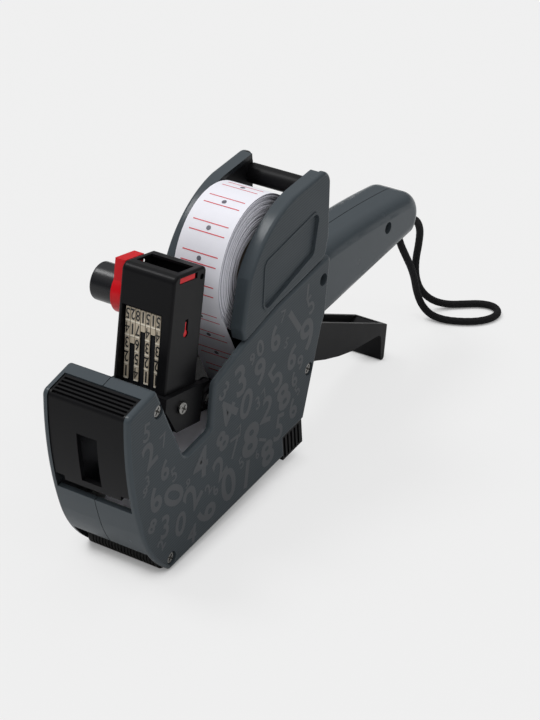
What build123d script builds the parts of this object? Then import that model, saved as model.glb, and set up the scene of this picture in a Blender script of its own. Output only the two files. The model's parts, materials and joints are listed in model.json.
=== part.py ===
"""Hand-held labelling machine: a trigger-worked printer for small paper labels.

Everything is drawn in the tool frame: +X runs to the nose, +Y to the user's left, +Z up.
The straight lower edge of the side plates is z = 0 and the label roll turns about x = 0.
At the end every piece is turned and moved together, so that the tool stands on the floor on
its front roller and the lip of its trigger, nose down. All lengths are millimetres.
"""
import os
from math import acos, asin, atan2, cos, degrees, hypot, pi, radians, sin, tan

from build123d import *

os.makedirs("parts", exist_ok=True)

# ---------------------------------------------------------------- driving dimensions
# casing
body_half = 19.85           # outer face of each side plate
plate = 2.5                 # side plate thickness
edge_round = 1.5            # rounding of the outer edges
rim = 2.4                   # walls that close the casing between the plates
seam = 0.3                  # gap between the two half casings
fit = 0.25                  # clearance of covers and other loose fits
running = 0.1               # radial clearance of a turning fit
boss_wall = 2.0             # plastic round a screw or a pin
boss_seat = 2.6             # how far a short boss stands in from the plate
roller_seat = 0.8           # the same for the front roller's sleeve
boss_ring = 1.3             # plastic round a screw's recess
sleeve_ring = 1.2           # plastic round the end of a sleeve

# screws of the casing
screw_r = 1.4
screw_head_r = 2.5
screw_head_t = 1.5
cross_length = 3.2
cross_width = 0.7
cross_depth = 0.9
nose_screw = (81.6, 73.8)
tail_screw = (-32.7, 66.2)
grip_screw = (-97.7, 53.2)
deep_recess = 9.0           # the tail and grip screws sit this deep
shallow_recess = 2.2

# grip
grip_half = 12.0
grip_wall = 3.0
grip_shoulder = 6.5
grip_floor = 37.2           # underside of the grip

# label roll and label strip
label_width = 21.5
roll_centre = (0.0, 88.0)
roll_radius = 26.9
roll_bore = 13.2
core_wall = 1.6
strip_t = 0.25
strip_gap = 0.1
backing_t = 0.2

# trigger and print head
lever_pivot = (-18.9, 30.6)
pivot_sleeve_r = 3.0
hub_wall = 1.9
arm_outer = 14.0
arm_t = 2.2
arm_half = 4.4
trigger_half = 8.0
trigger_wall = 1.8
lip_round = 1.2
head_corner = (54.0, 113.6)     # top front edge of the print head
head_lean = 16.03               # the head leans back by this much
head_depth = 20.9
head_left = 11.6
head_right = 12.5
head_wall = 1.6
head_length = 63.0
band_count = 7
band_pitch = 2.317
band_width = 2.0
band_t = 0.8
first_band_y = -9.1
wheel_r = 7.6
wheel_bore = 3.3
anvil_r = 4.1
anvil_pin_r = 2.4
band_slack = 0.1
spindle = (-10.4, 14.3)         # head frame: along the depth, down from the top
anvil = (-10.4, 61.0)
carrier_top = 47.0
carrier_front = 2.0
knob_r = 7.6
knob_length = 11.3
slider_t = 4.6
slider_flange = 9.5
screw_on_carrier = (-8.0, 53.0)

# inking
ink_pivot = (82.0, 57.8)
ink_rest = (67.85, 43.7)
ink_roller_r = 5.0
ink_roller_half = 10.2
ink_arm_t = 1.4
ink_pin_r = 1.5

# printing table, guide and feed
platen_top = 23.5
platen_t = 2.6
platen_rear = 50.0
platen_front = 78.0
peel_edge = (90.0, 14.9)
peel_t = 0.9
guide_x = 14.0
guide_r = 5.8
guide_pin_r = 2.0
feed_centre = (26.0, 11.5)
feed_r = 8.5
feed_half = 9.0
feed_axle_r = 2.0

# front roller
roller_axis = (82.4, 4.7)
roller_r = 5.3
roller_gap = 0.35           # from the roller to the bosses beside it
roller_plain = 0.6          # smooth margin at each end of its ribs
roller_groove = 0.5
roller_rib_pitch = 1.5
roller_sleeve_r = 2.4

# covers
front_cover_t = 2.2
front_cover_rear = 87.9
front_cover_foot = 42.6
front_hinge = (96.0, 47.8)
hinge_pin_r = 1.4
hinge_lug_r = 2.7
cover_inset = 0.4           # the front cover lies this much inside the casing's outline
frame_t = 1.6
label_hinge = (-31.5, 80.6)
label_lug_r = 4.2
crossbar = (-38.0, 103.5)
crossbar_r = 4.2
label_ear_outer = 15.3      # outer face of the casing's ears inside the label cover
label_ear_t = 2.5
ear_half = 3.6
ear_foot = 68.0
hinge_pin_depth = 1.3       # how far the covers' pins reach into the side plates
sole_t = 2.0
sole_hinge = (72.5, 3.4)
sole_rear = -13.2
latch_half = 18.7

# wrist strap
cord_r = 1.7

inner = body_half - plate       # inner face of the side plates
roller_half = inner - roller_seat - roller_gap
roller_ribbed_half = roller_half - roller_plain


# ---------------------------------------------------------------- planes and small helpers
def side(y):
    """A side view plane at y; a positive extrusion goes towards -Y."""
    return Plane(origin=(0, y, 0), x_dir=(1, 0, 0), z_dir=(0, -1, 0))


def head_side(y):
    """The print head's own side view at y: u runs forward, w down; extrusions go towards +Y."""
    lean = radians(head_lean)
    return Plane(
        origin=(head_corner[0], y, head_corner[1]),
        x_dir=(cos(lean), 0, sin(lean)),
        z_dir=(0, 1, 0),
    )


def head_point(u, w):
    """Tool frame (x, z) of a point given in the head's side view."""
    lean = radians(head_lean)
    x = head_corner[0] + u * cos(lean) + w * sin(lean)
    z = head_corner[1] + u * sin(lean) - w * cos(lean)
    return (x, z)


def corner(sketch, point):
    """The sketch's vertex that lies nearest to the point."""
    return min(sketch.vertices(), key=lambda v: hypot(v.X - point[0], v.Y - point[1]))


def disc(centre, radius):
    with Locations(centre):
        Circle(radius)


def block(x0, x1, z0, z1, mode=Mode.ADD):
    """A rectangle from its limits, in the current sketch."""
    with Locations(((x0 + x1) / 2, (z0 + z1) / 2)):
        Rectangle(x1 - x0, z1 - z0, mode=mode)


pieces = {}


def keep(name, builder):
    pieces[name] = builder.part


# ---------------------------------------------------------------- casing
nose_top_front = (98.9, 81.1)
nose_top_rear = (81.5, 83.4)
throat_front = (68.3, 43.9)
throat_rear = (50.6, 44.9)
throat_lip = (45.9, 63.9)
tail_top = (-39.4, 75.0)
latch_notch = (2.0, 9.1)
tail_foot = (-13.4, 9.1)
chin = (84.0, 0.0)
brow = (98.2, 26.5)


with BuildSketch() as casing_outline:
    with BuildLine():
        Line((latch_notch[0], 0), chin)
        ThreePointArc(chin, (93.1, 12.2), brow)
        ThreePointArc(brow, (101.0, 52.0), nose_top_front)
        Polyline(
            nose_top_front, nose_top_rear, (75.3, 64.5), throat_front, throat_rear, throat_lip,
            (24.0, 69.2), (2.2, 72.8), (-16.2, 73.8), tail_top,
            (-33.3, 49.5), (-30.2, 45.0), tail_foot, latch_notch, (latch_notch[0], 0),
        )
    make_face()
    for point, radius in (
        (nose_top_front, 3.0), (nose_top_rear, 2.0), (throat_front, 3.5), (throat_rear, 3.0),
        (throat_lip, 3.5), (tail_top, 2.0), (chin, 1.5), (tail_foot, 1.0),
    ):
        fillet(corner(casing_outline, point), radius=radius)

# the casing's rim, where walls run along the outline from plate to seam
with BuildSketch() as casing_rim:
    add(casing_outline.sketch)
    offset(amount=-rim, kind=Kind.INTERSECTION, mode=Mode.SUBTRACT)

trigger_slot_half = arm_outer + 0.5
trigger_slot_top = 39.2
trigger_slot = (-52.0, -8.0)        # from and to, along the casing
grip_mouth = (-65.0, -31.0)         # the grip's opening over the trigger
lower_front_top = 37.9
lower_front_foot = 13.8
grip_end = -127.0
grip_root = -35.0
grip_rear = (-118.5, 58.8)
grip_heel = (-120.5, grip_floor)

with BuildSketch() as grip_outline:
    with BuildLine():
        ThreePointArc((grip_root, 70.6), (-77.0, 66.5), grip_rear)
        ThreePointArc(grip_rear, (grip_end, 47.6), grip_heel)
        Polyline(grip_heel, (grip_root, grip_floor), (grip_root, 70.6))
    make_face()

with BuildSketch() as grip_hollow:
    add(grip_outline.sketch)
    offset(amount=-grip_wall, kind=Kind.INTERSECTION, mode=Mode.REPLACE)

# the grip's outer form, both halves, with its shoulders rounded
with BuildPart() as grip_form:
    with BuildSketch(side(grip_half)):
        add(grip_outline.sketch)
    extrude(amount=2 * grip_half)
    cheeks = grip_form.faces().filter_by(Axis.Y)
    fillet(
        cheeks.edges().filter_by(lambda e: e.center().X < grip_root - 1.0),
        radius=grip_shoulder,
    )


def half_casing(screw_side):
    """One half casing, drawn on the +Y side; screw_side has the recesses for the heads."""
    reach = inner - seam / 2
    with BuildPart() as half:
        with BuildSketch(side(body_half)):
            add(casing_outline.sketch)
        extrude(amount=plate)
        fillet(half.faces().sort_by(Axis.Y)[-1].edges(), radius=edge_round)
        # walls along the rim: nose top, lower front, rear
        for x0, x1, z0, z1 in (
            (80.0, front_cover_rear - fit, 78.0, 86.0),
            (88.0, 104.0, lower_front_foot, lower_front_top),
            (-42.0, -10.0, latch_notch[1] + 1.0, 50.0),
            (-42.0, -29.5, 50.0, 76.0),
        ):
            with BuildSketch(side(inner)):
                add(casing_rim.sketch)
                block(x0, x1, z0, z1, mode=Mode.INTERSECT)
            extrude(amount=reach)
        with BuildSketch(side(trigger_slot_half)):
            block(*trigger_slot, 0, trigger_slot_top)
        extrude(amount=trigger_slot_half, mode=Mode.SUBTRACT)

        # grip, hollow, open to the trigger below its root
        add(grip_form.part)
        with BuildSketch(side(seam / 2)):
            block(grip_end - 10.0, 0, 0, roll_centre[1])
        extrude(amount=2 * body_half, mode=Mode.SUBTRACT)
        with BuildSketch(side(grip_half - grip_wall - 0.2)):
            add(grip_hollow.sketch)
        extrude(amount=grip_half, mode=Mode.SUBTRACT)
        with BuildSketch(side(trigger_half + 1.2)):
            block(*grip_mouth, grip_floor - 3.0, grip_floor + 4.0)
        extrude(amount=trigger_half + 1.2, mode=Mode.SUBTRACT)

        # bosses that meet at the seam
        with BuildSketch(side(inner + 0.5)):
            disc(nose_screw, screw_head_r + boss_ring)
            disc(tail_screw, screw_head_r + boss_ring)
        extrude(amount=reach + 0.5)
        with BuildSketch(side(grip_half - 1.0)):
            disc(grip_screw, screw_head_r + boss_ring)
        extrude(amount=grip_half - 1.0 - seam / 2)
        # short bosses for pins and sleeves
        with BuildSketch(side(inner + 0.5)):
            disc(lever_pivot, pivot_sleeve_r + sleeve_ring)
            disc(ink_pivot, ink_pin_r + boss_wall)
            disc(feed_centre, feed_axle_r + boss_wall)
        extrude(amount=0.5 + boss_seat)
        with BuildSketch(side(inner + 0.5)):
            disc(roller_axis, roller_sleeve_r + sleeve_ring)
        extrude(amount=0.5 + roller_seat)
        # ear that carries the label cover
        with BuildSketch(side(label_ear_outer)):
            disc(label_hinge, label_lug_r)
            block(label_hinge[0] - ear_half, label_hinge[0] + ear_half, ear_foot, label_hinge[1])
        extrude(amount=label_ear_t)

        # bores
        bore_end = body_half + 1 if screw_side else inner + 1
        with BuildSketch(side(bore_end)):
            for centre in (nose_screw, tail_screw, lever_pivot, roller_axis):
                disc(centre, screw_r + running)
        extrude(amount=bore_end, mode=Mode.SUBTRACT)
        grip_bore_end = grip_half + 1 if screw_side else grip_half - 2
        with BuildSketch(side(grip_bore_end)):
            disc(grip_screw, screw_r + running)
        extrude(amount=grip_bore_end, mode=Mode.SUBTRACT)
        if screw_side:
            with BuildSketch(side(body_half + 1)):
                for centre in (nose_screw, lever_pivot, roller_axis):
                    disc(centre, screw_head_r + 0.35)
            extrude(amount=1 + shallow_recess, mode=Mode.SUBTRACT)
            with BuildSketch(side(body_half + 1)):
                disc(tail_screw, screw_head_r + 0.15)
            extrude(amount=1 + deep_recess, mode=Mode.SUBTRACT)
            with BuildSketch(side(grip_half + 1)):
                disc(grip_screw, screw_head_r + 0.15)
            extrude(amount=1 + deep_recess / 2, mode=Mode.SUBTRACT)
        with BuildSketch(side(inner)):
            disc(lever_pivot, pivot_sleeve_r + 0.05)
            disc(roller_axis, roller_sleeve_r + 0.05)
            disc(ink_pivot, ink_pin_r + 0.05)
            disc(feed_centre, feed_axle_r + 0.05)
        extrude(amount=boss_seat + 1, mode=Mode.SUBTRACT)
        with BuildSketch(side(inner + hinge_pin_depth)):
            disc(front_hinge, hinge_pin_r + running)
            disc(sole_hinge, hinge_pin_r + running)
        extrude(amount=hinge_pin_depth, mode=Mode.SUBTRACT)
        with BuildSketch(side(label_ear_outer + 0.1)):
            disc(label_hinge, hinge_pin_r + running)
        extrude(amount=label_ear_t + 0.2, mode=Mode.SUBTRACT)
    return half.part


left_half = half_casing(screw_side=True)
right_half = half_casing(screw_side=False)

with BuildPart() as left_shell:
    add(left_half)
keep("left_shell", left_shell)

with BuildPart() as right_shell:
    mirror(right_half, about=Plane.XZ)
keep("right_shell", right_shell)


def screw(centre, head_y, tip_y):
    """A cross-head screw along Y: head_y is the underside of its head."""
    with BuildPart() as blank:
        with BuildSketch(side(head_y + screw_head_t)):
            disc(centre, screw_head_r)
        extrude(amount=screw_head_t)
        fillet(blank.faces().sort_by(Axis.Y)[-1].edges(), radius=0.5)
        with BuildSketch(side(head_y)):
            disc(centre, screw_r)
        extrude(amount=head_y - tip_y)
        with BuildSketch(side(head_y + screw_head_t)):
            with Locations(centre):
                Rectangle(cross_length, cross_width, rotation=45)
                Rectangle(cross_length, cross_width, rotation=-45)
        extrude(amount=cross_depth, mode=Mode.SUBTRACT)
    return blank.part


with BuildPart() as casing_screws:
    add(screw(nose_screw, body_half - shallow_recess, -inner + 1))
    add(screw(lever_pivot, body_half - shallow_recess, -inner - 0.5))
    add(screw(roller_axis, body_half - shallow_recess, -inner - 0.5))
    add(screw(tail_screw, body_half - deep_recess, -inner + 2))
    add(screw(grip_screw, grip_half - deep_recess / 2, -grip_half + 3))
keep("casing_screws", casing_screws)


def tube(centre, outer_r, bore_r, y_top, length):
    with BuildPart() as blank:
        with BuildSketch(side(y_top)):
            disc(centre, outer_r)
            if bore_r:
                with Locations(centre):
                    Circle(bore_r, mode=Mode.SUBTRACT)
        extrude(amount=length)
    return blank.part


between_plates = 2 * inner

with BuildPart() as pivot_sleeve:
    add(tube(lever_pivot, pivot_sleeve_r, screw_r + running, inner, between_plates))
keep("pivot_sleeve", pivot_sleeve)

with BuildPart() as roller_sleeve:
    add(tube(roller_axis, roller_sleeve_r, screw_r + running, inner, between_plates))
keep("roller_sleeve", roller_sleeve)

with BuildPart() as applicator_roller:
    add(tube(roller_axis, roller_r, roller_sleeve_r + running, roller_half, 2 * roller_half))
    grooves = int(2 * roller_ribbed_half / roller_rib_pitch)
    for i in range(grooves):
        groove_y = roller_ribbed_half - (i + 0.5) * roller_rib_pitch
        with BuildSketch(side(groove_y + roller_rib_pitch / 4)):
            disc(roller_axis, roller_r + 1)
            with Locations(roller_axis):
                Circle(roller_r - roller_groove, mode=Mode.SUBTRACT)
        extrude(amount=roller_rib_pitch / 2, mode=Mode.SUBTRACT)
keep("applicator_roller", applicator_roller)

# ---------------------------------------------------------------- front cover
cover_half = inner - fit

with BuildSketch() as front_cover_profile:
    add(casing_outline.sketch)
    offset(amount=-cover_inset, kind=Kind.INTERSECTION, mode=Mode.REPLACE)
with BuildSketch() as front_cover_inside:
    add(front_cover_profile.sketch)
    offset(amount=-front_cover_t, kind=Kind.INTERSECTION, mode=Mode.REPLACE)

window_half = 4.6
window_foot = 45.7
window_top = 67.4
cover_notch = 13.0
cover_notch_top = 44.8
furrows = 5
furrow_pitch = 1.9
furrow_width = 1.1
furrow_depth = 1.0
top_slope = (nose_top_front[1] - nose_top_rear[1]) / (nose_top_front[0] - nose_top_rear[0])

with BuildPart() as front_cover:
    with BuildSketch(side(cover_half)):
        add(front_cover_profile.sketch)
        add(front_cover_inside.sketch, mode=Mode.SUBTRACT)
        block(front_cover_rear, 110.0, front_cover_foot, 90.0, mode=Mode.INTERSECT)
    extrude(amount=2 * cover_half)
    # window, corner notches and the furrows of the thumb grip
    with BuildSketch(side(window_half)):
        block(90.0, 110.0, window_foot, window_top)
    extrude(amount=2 * window_half, mode=Mode.SUBTRACT)
    for top in (cover_half, -cover_notch):
        with BuildSketch(side(top)):
            block(90.0, 110.0, front_cover_foot - 1, cover_notch_top)
        extrude(amount=cover_half - cover_notch, mode=Mode.SUBTRACT)
    with BuildSketch(side(cover_half - 0.8)):
        for i in range(furrows):
            furrow_x = front_cover_rear + 1.2 + i * furrow_pitch
            top_z = nose_top_rear[1] + (furrow_x - nose_top_rear[0]) * top_slope - cover_inset
            block(furrow_x, furrow_x + furrow_width, top_z - furrow_depth, top_z + 1.0)
    extrude(amount=2 * (cover_half - 0.8), mode=Mode.SUBTRACT)
    # lugs and pins of the hinge
    for top in (cover_half, -cover_half + 2.2):
        with BuildSketch(side(top)):
            disc(front_hinge, hinge_lug_r)
            block(front_hinge[0], 99.5, front_hinge[1] - hinge_lug_r + 0.4, front_hinge[1] + hinge_lug_r)
        extrude(amount=2.2)
    for top in (inner + hinge_pin_depth - 0.2, -cover_half):
        with BuildSketch(side(top)):
            disc(front_hinge, hinge_pin_r)
        extrude(amount=hinge_pin_depth - 0.2 + fit)
keep("front_cover", front_cover)

# ---------------------------------------------------------------- bottom cover
latch_front = latch_notch[0] - 0.3
latch_top = latch_notch[1] - 0.5
latch_foot = -3.0
latch_ribs = 5
latch_rib_pitch = 2.6
latch_inner = inner - 3.4
sole_half = inner - fit
sole_barrel_r = 2.6

with BuildPart() as bottom_cover:
    with BuildSketch(side(sole_half)):
        block(sole_rear, sole_hinge[0], 0.3, 0.3 + sole_t)
        disc(sole_hinge, sole_barrel_r)
    extrude(amount=2 * sole_half)
    for top in (sole_half, -sole_half + 1.6):
        with BuildSketch(side(top)):
            block(latch_front, sole_hinge[0] - 4.0, 0.3, 5.6)
        extrude(amount=1.6)
    # the two latch grips, with upright ribs outside, tied by a rear wall
    for top in (latch_half, -latch_inner):
        with BuildSketch(side(top)):
            block(sole_rear, latch_front, latch_foot, latch_top)
        extrude(amount=latch_half - latch_inner)
    with BuildSketch(side(latch_half)):
        block(sole_rear, sole_rear + 2.0, latch_foot, latch_top)
    extrude(amount=2 * latch_half)
    for top in (latch_half + 1, -latch_half + 0.8):
        for i in range(latch_ribs):
            rib_x = sole_rear + 2.2 + i * latch_rib_pitch
            with BuildSketch(side(top)):
                block(rib_x, rib_x + latch_rib_pitch / 2, latch_foot + 1.0, latch_top - 1.0)
            extrude(amount=1.8, mode=Mode.SUBTRACT)
    for top in (inner + hinge_pin_depth - 0.2, -sole_half):
        with BuildSketch(side(top)):
            disc(sole_hinge, hinge_pin_r)
        extrude(amount=hinge_pin_depth - 0.2 + fit)
keep("bottom_cover", bottom_cover)

# ---------------------------------------------------------------- label cover
cover_gap = 0.4
cheek_rear_top = (-42.0, 113.9)
cheek_front = (25.2, 75.3)
cheek_foot = (24.2, 69.9)
skirt_t = 2.0
skirt_inner = 13.7          # the caps' rims reach in to here
skirt_rear = -36.0          # where the rim starts along the top
skirt_turn = 19.0           # where it turns down the front, clear of the roll holders
skirt_sill = 84.0           # the top run stays above this
hinge_corner_r = label_hinge[1] - 75.3

with BuildSketch() as cheek_outline:
    with BuildLine():
        ThreePointArc(
            (label_hinge[0], label_hinge[1] - hinge_corner_r),
            (
                label_hinge[0] - hinge_corner_r * sin(pi / 4),
                label_hinge[1] - hinge_corner_r * sin(pi / 4),
            ),
            (label_hinge[0] - hinge_corner_r, label_hinge[1]),
        )
        Polyline(
            (label_hinge[0] - hinge_corner_r, label_hinge[1]), (-38.3, 83.2), cheek_rear_top,
            (-16.0, 114.1),
        )
        ThreePointArc((-16.0, 114.1), (4.8, 107.2), (18.2, 94.6))
        Polyline(
            (18.2, 94.6), cheek_front, cheek_foot, (22.0, 69.5 + cover_gap),
            (2.2, 72.8 + cover_gap), (-16.2, 73.8 + cover_gap),
            (label_hinge[0], label_hinge[1] - hinge_corner_r),
        )
    make_face()
    for point, radius in ((cheek_rear_top, 6.0), (cheek_front, 2.0), (cheek_foot, 0.6)):
        fillet(corner(cheek_outline, point), radius=radius)

with BuildSketch() as frame_outline:
    add(cheek_outline.sketch)
    offset(amount=-skirt_t - 0.1, mode=Mode.REPLACE)

with BuildSketch() as panel_outline:
    with BuildLine():
        Polyline((7.4, 96.2), (-32.0, 99.5), (-26.0, 82.2), (11.0, 75.8), (7.4, 96.2))
    make_face()
    fillet(panel_outline.vertices(), radius=3.0)

panel_depth = 1.0
panel_lip = 0.35
panel_lip_width = 1.0

with BuildPart() as cap:
    with BuildSketch(side(body_half)):
        add(cheek_outline.sketch)
    extrude(amount=plate)
    fillet(cap.faces().sort_by(Axis.Y)[-1].edges(), radius=edge_round)
    # the rim, along the top and down the front
    with BuildSketch(side(inner)):
        add(cheek_outline.sketch)
        offset(amount=-skirt_t, mode=Mode.SUBTRACT)
        block(skirt_rear, skirt_turn, skirt_sill, cheek_rear_top[1] + 1.0, mode=Mode.INTERSECT)
    extrude(amount=inner - skirt_inner)
    with BuildSketch(side(inner)):
        add(cheek_outline.sketch)
        offset(amount=-skirt_t, mode=Mode.SUBTRACT)
        block(skirt_turn, cheek_front[0] + 1.0, cheek_foot[1] - 1.0, roll_centre[1] + 12.0,
              mode=Mode.INTERSECT)
    extrude(amount=inner - skirt_inner)
    with BuildSketch(side(body_half + panel_lip)):
        add(panel_outline.sketch)
        offset(amount=panel_lip_width, mode=Mode.REPLACE)
    extrude(amount=panel_lip + 0.5)
    with BuildSketch(side(body_half + panel_lip)):
        add(panel_outline.sketch)
    extrude(amount=panel_lip + panel_depth, mode=Mode.SUBTRACT)

with BuildPart() as left_cap:
    add(cap.part)
keep("left_cover_cap", left_cap)

with BuildPart() as right_cap:
    mirror(cap.part, about=Plane.XZ)
keep("right_cover_cap", right_cap)

with BuildPart() as label_cover_frame:
    for top in (inner, -inner + frame_t):
        with BuildSketch(side(top)):
            add(frame_outline.sketch)
        extrude(amount=frame_t)
    frame_inner = inner - frame_t
    add(tube(crossbar, crossbar_r, 0, frame_inner, 2 * frame_inner))
    pin_tip = label_ear_outer - label_ear_t + 0.1
    for top in (frame_inner, -pin_tip):
        with BuildSketch(side(top)):
            disc(label_hinge, hinge_pin_r)
        extrude(amount=frame_inner - pin_tip)
keep("label_cover_frame", label_cover_frame)

# ---------------------------------------------------------------- label roll and its holders
roll_half = label_width / 2
roll_hub_r = roll_bore - 0.3
roll_hub_wall = 2.0
hub_inner_y = 6.0
holder_t = 2.0
holder_inner = (roll_half + inner - frame_t - holder_t) / 2    # midway to the cover's frame
holder_half = 13.0
holder_foot = 58.5
holder_pad = 7.0            # height of the pads that reach out to the plates

with BuildPart() as label_roll:
    add(tube(roll_centre, roll_radius, roll_bore + core_wall, roll_half, label_width))
keep("label_roll", label_roll)

with BuildPart() as roll_core:
    add(tube(roll_centre, roll_bore + core_wall, roll_bore, roll_half, label_width))
keep("roll_core", roll_core)

with BuildPart() as holder:
    with BuildSketch(side(holder_inner + holder_t)):
        disc(roll_centre, roll_hub_r + 3.0)
        block(-holder_half, holder_half, holder_foot, roll_centre[1])
        with Locations(roll_centre):
            Circle(roll_hub_r - roll_hub_wall, mode=Mode.SUBTRACT)
    extrude(amount=holder_t)
    add(tube(roll_centre, roll_hub_r, roll_hub_r - roll_hub_wall, holder_inner,
             holder_inner - hub_inner_y))
    with BuildSketch(side(inner)):
        block(-holder_half, holder_half, holder_foot, holder_foot + holder_pad)
    extrude(amount=inner - holder_inner - holder_t)

with BuildPart() as left_holder:
    add(holder.part)
keep("left_roll_holder", left_holder)

with BuildPart() as right_holder:
    mirror(holder.part, about=Plane.XZ)
keep("right_roll_holder", right_holder)

# ---------------------------------------------------------------- guide, table, peel plate
strip_level = platen_top + strip_gap + strip_t / 2
wrap = strip_gap + strip_t / 2
guide_centre = (guide_x, strip_level + guide_r + wrap)

with BuildPart() as label_guide:
    guide_half = label_width / 2 + 0.6
    add(tube(guide_centre, guide_r, 0, guide_half, 2 * guide_half))
    add(tube(guide_centre, guide_pin_r, 0, inner, between_plates))
keep("label_guide", label_guide)

pad_half = 11.0
pad_t = 0.8
pad_rear = 54.0
pad_front = 74.0

with BuildPart() as platen:
    with BuildSketch(side(inner)):
        block(platen_rear, platen_front, platen_top - platen_t, platen_top)
    extrude(amount=between_plates)
    with BuildSketch(side(pad_half)):
        block(pad_rear, pad_front, platen_top - pad_t, platen_top)
    extrude(amount=2 * pad_half, mode=Mode.SUBTRACT)
    for x in (platen_rear + 1.0, platen_front - 1.0):
        with BuildSketch(side(inner)):
            block(x - 1.0, x + 1.0, platen_top - platen_t - 1.6, platen_top - platen_t)
        extrude(amount=4.0)
    mirror(about=Plane.XZ)
keep("platen", platen)

with BuildPart() as platen_pad:
    with BuildSketch(side(pad_half)):
        block(pad_rear, pad_front, platen_top - pad_t, platen_top)
    extrude(amount=2 * pad_half)
keep("platen_pad", platen_pad)

peel_start = (platen_front + peel_t / 2, platen_top - 0.9)

with BuildPart() as peel_plate:
    with BuildSketch(side(inner)):
        with BuildLine():
            Line(peel_start, peel_edge)
        trace(line_width=peel_t)
    extrude(amount=between_plates)
keep("peel_plate", peel_plate)


def tangent_points(c1, r1, c2, r2, side1, side2):
    """Tangent of two circles; side +1 has the circle on the left of the way from 1 to 2."""
    dx = c2[0] - c1[0]
    dz = c2[1] - c1[1]
    way = atan2(dz, dx) + asin((side2 * r2 - side1 * r1) / hypot(dx, dz)) * -1
    normal = (sin(way), -cos(way))
    first = (c1[0] + side1 * r1 * normal[0], c1[1] + side1 * r1 * normal[1])
    second = (c2[0] + side2 * r2 * normal[0], c2[1] + side2 * r2 * normal[1])
    return first, second


roll_run = roll_radius + 0.3 + strip_t / 2
guide_run = guide_r + wrap
leave_roll, meet_guide = tangent_points(roll_centre, roll_run, guide_centre, guide_run, -1, 1)
peel_run = peel_t / 2 + strip_gap + strip_t / 2
feed_run = feed_r + strip_gap + backing_t / 2
strip_down = (peel_edge[0] - peel_start[0], peel_edge[1] - peel_start[1])
peel_length = hypot(*strip_down)
strip_normal = (-strip_down[1] / peel_length, strip_down[0] / peel_length)
strip_end = (peel_edge[0] + peel_run * strip_normal[0], peel_edge[1] + peel_run * strip_normal[1])
strip_bend = (peel_start[0] + peel_run * strip_normal[0], strip_level)

with BuildPart() as label_strip:
    with BuildSketch(side(label_width / 2)):
        with BuildLine():
            Line(leave_roll, meet_guide)
            wrap_start = degrees(atan2(meet_guide[1] - guide_centre[1], meet_guide[0] - guide_x))
            CenterArc(guide_centre, guide_run, wrap_start, 270 - wrap_start)
            Polyline((guide_x, strip_level), strip_bend, strip_end)
        trace(line_width=strip_t)
    extrude(amount=label_width)
keep("label_strip", label_strip)

backing_width = label_width - 1.0
leave_peel, meet_feed = tangent_points(
    peel_edge, peel_t / 2 + strip_gap + backing_t / 2, feed_centre, feed_run, -1, 1
)
feed_leave_angle = 100.0
feed_leave = (
    feed_centre[0] + feed_run * cos(radians(feed_leave_angle)),
    feed_centre[1] + feed_run * sin(radians(feed_leave_angle)),
)
backing_tail = 32.0

with BuildPart() as backing_strip:
    with BuildSketch(side(backing_width / 2)):
        with BuildLine():
            Line(leave_peel, meet_feed)
            meet_angle = degrees(atan2(meet_feed[1] - feed_centre[1], meet_feed[0] - feed_centre[0]))
            CenterArc(feed_centre, feed_run, meet_angle, feed_leave_angle - meet_angle)
            Line(
                feed_leave,
                (
                    feed_leave[0] - backing_tail * sin(radians(feed_leave_angle)),
                    feed_leave[1] + backing_tail * cos(radians(feed_leave_angle)),
                ),
            )
        trace(line_width=backing_t)
    extrude(amount=backing_width)
keep("backing_strip", backing_strip)

# ---------------------------------------------------------------- label feed
feed_flange = 4.0
feed_notches = 12
feed_notch = 0.8
pawl_outer = 12.6
pawl_t = 1.8
pawl_ring = 2.0
pawl_tip = (feed_centre[0] - 5.0, feed_centre[1] + 11.0)
pawl_tip_r = 1.8

with BuildPart() as feed_wheel:
    add(tube(feed_centre, feed_r - 3.0, feed_axle_r + running, feed_half, 2 * feed_half))
    for top in (feed_half, -feed_half + feed_flange):
        with BuildSketch(side(top)):
            with Locations(feed_centre):
                Circle(feed_r)
                Circle(feed_axle_r + running, mode=Mode.SUBTRACT)
                with PolarLocations(feed_r, feed_notches):
                    Circle(feed_notch, mode=Mode.SUBTRACT)
        extrude(amount=feed_flange)
keep("feed_wheel", feed_wheel)

with BuildPart() as feed_axle:
    add(tube(feed_centre, feed_axle_r, 0, inner, between_plates))
keep("feed_axle", feed_axle)

with BuildPart() as feed_pawl:
    with BuildSketch(side(pawl_outer)):
        disc(feed_centre, feed_axle_r + running + pawl_ring)
        disc(pawl_tip, pawl_tip_r)
        make_hull()
        with Locations(feed_centre):
            Circle(feed_axle_r + running, mode=Mode.SUBTRACT)
    extrude(amount=pawl_t)
keep("feed_pawl", feed_pawl)

# ---------------------------------------------------------------- inking
ink_axle_r = 1.2
ink_core_r = 2.4
ink_arm_inner = 11.0
ink_hub_r = 3.0

with BuildPart() as ink_pin:
    add(tube(ink_pivot, ink_pin_r, 0, inner, between_plates))
keep("ink_arm_pin", ink_pin)

with BuildPart() as ink_arm:
    for top in (ink_arm_inner + ink_arm_t, -ink_arm_inner):
        with BuildSketch(side(top)):
            disc(ink_pivot, ink_hub_r + 0.2)
            disc(ink_rest, ink_core_r + 0.2)
            make_hull()
        extrude(amount=ink_arm_t)
    add(tube(ink_pivot, ink_hub_r, 0, ink_arm_inner, 2 * ink_arm_inner))
    add(tube(ink_rest, ink_axle_r, 0, ink_arm_inner, 2 * ink_arm_inner))
    with BuildSketch(side(inner)):
        disc(ink_pivot, ink_pin_r + running)
    extrude(amount=between_plates, mode=Mode.SUBTRACT)
keep("ink_arm", ink_arm)

with BuildPart() as ink_roller:
    add(tube(ink_rest, ink_roller_r, ink_core_r, ink_roller_half, 2 * ink_roller_half))
keep("ink_roller", ink_roller)

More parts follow.
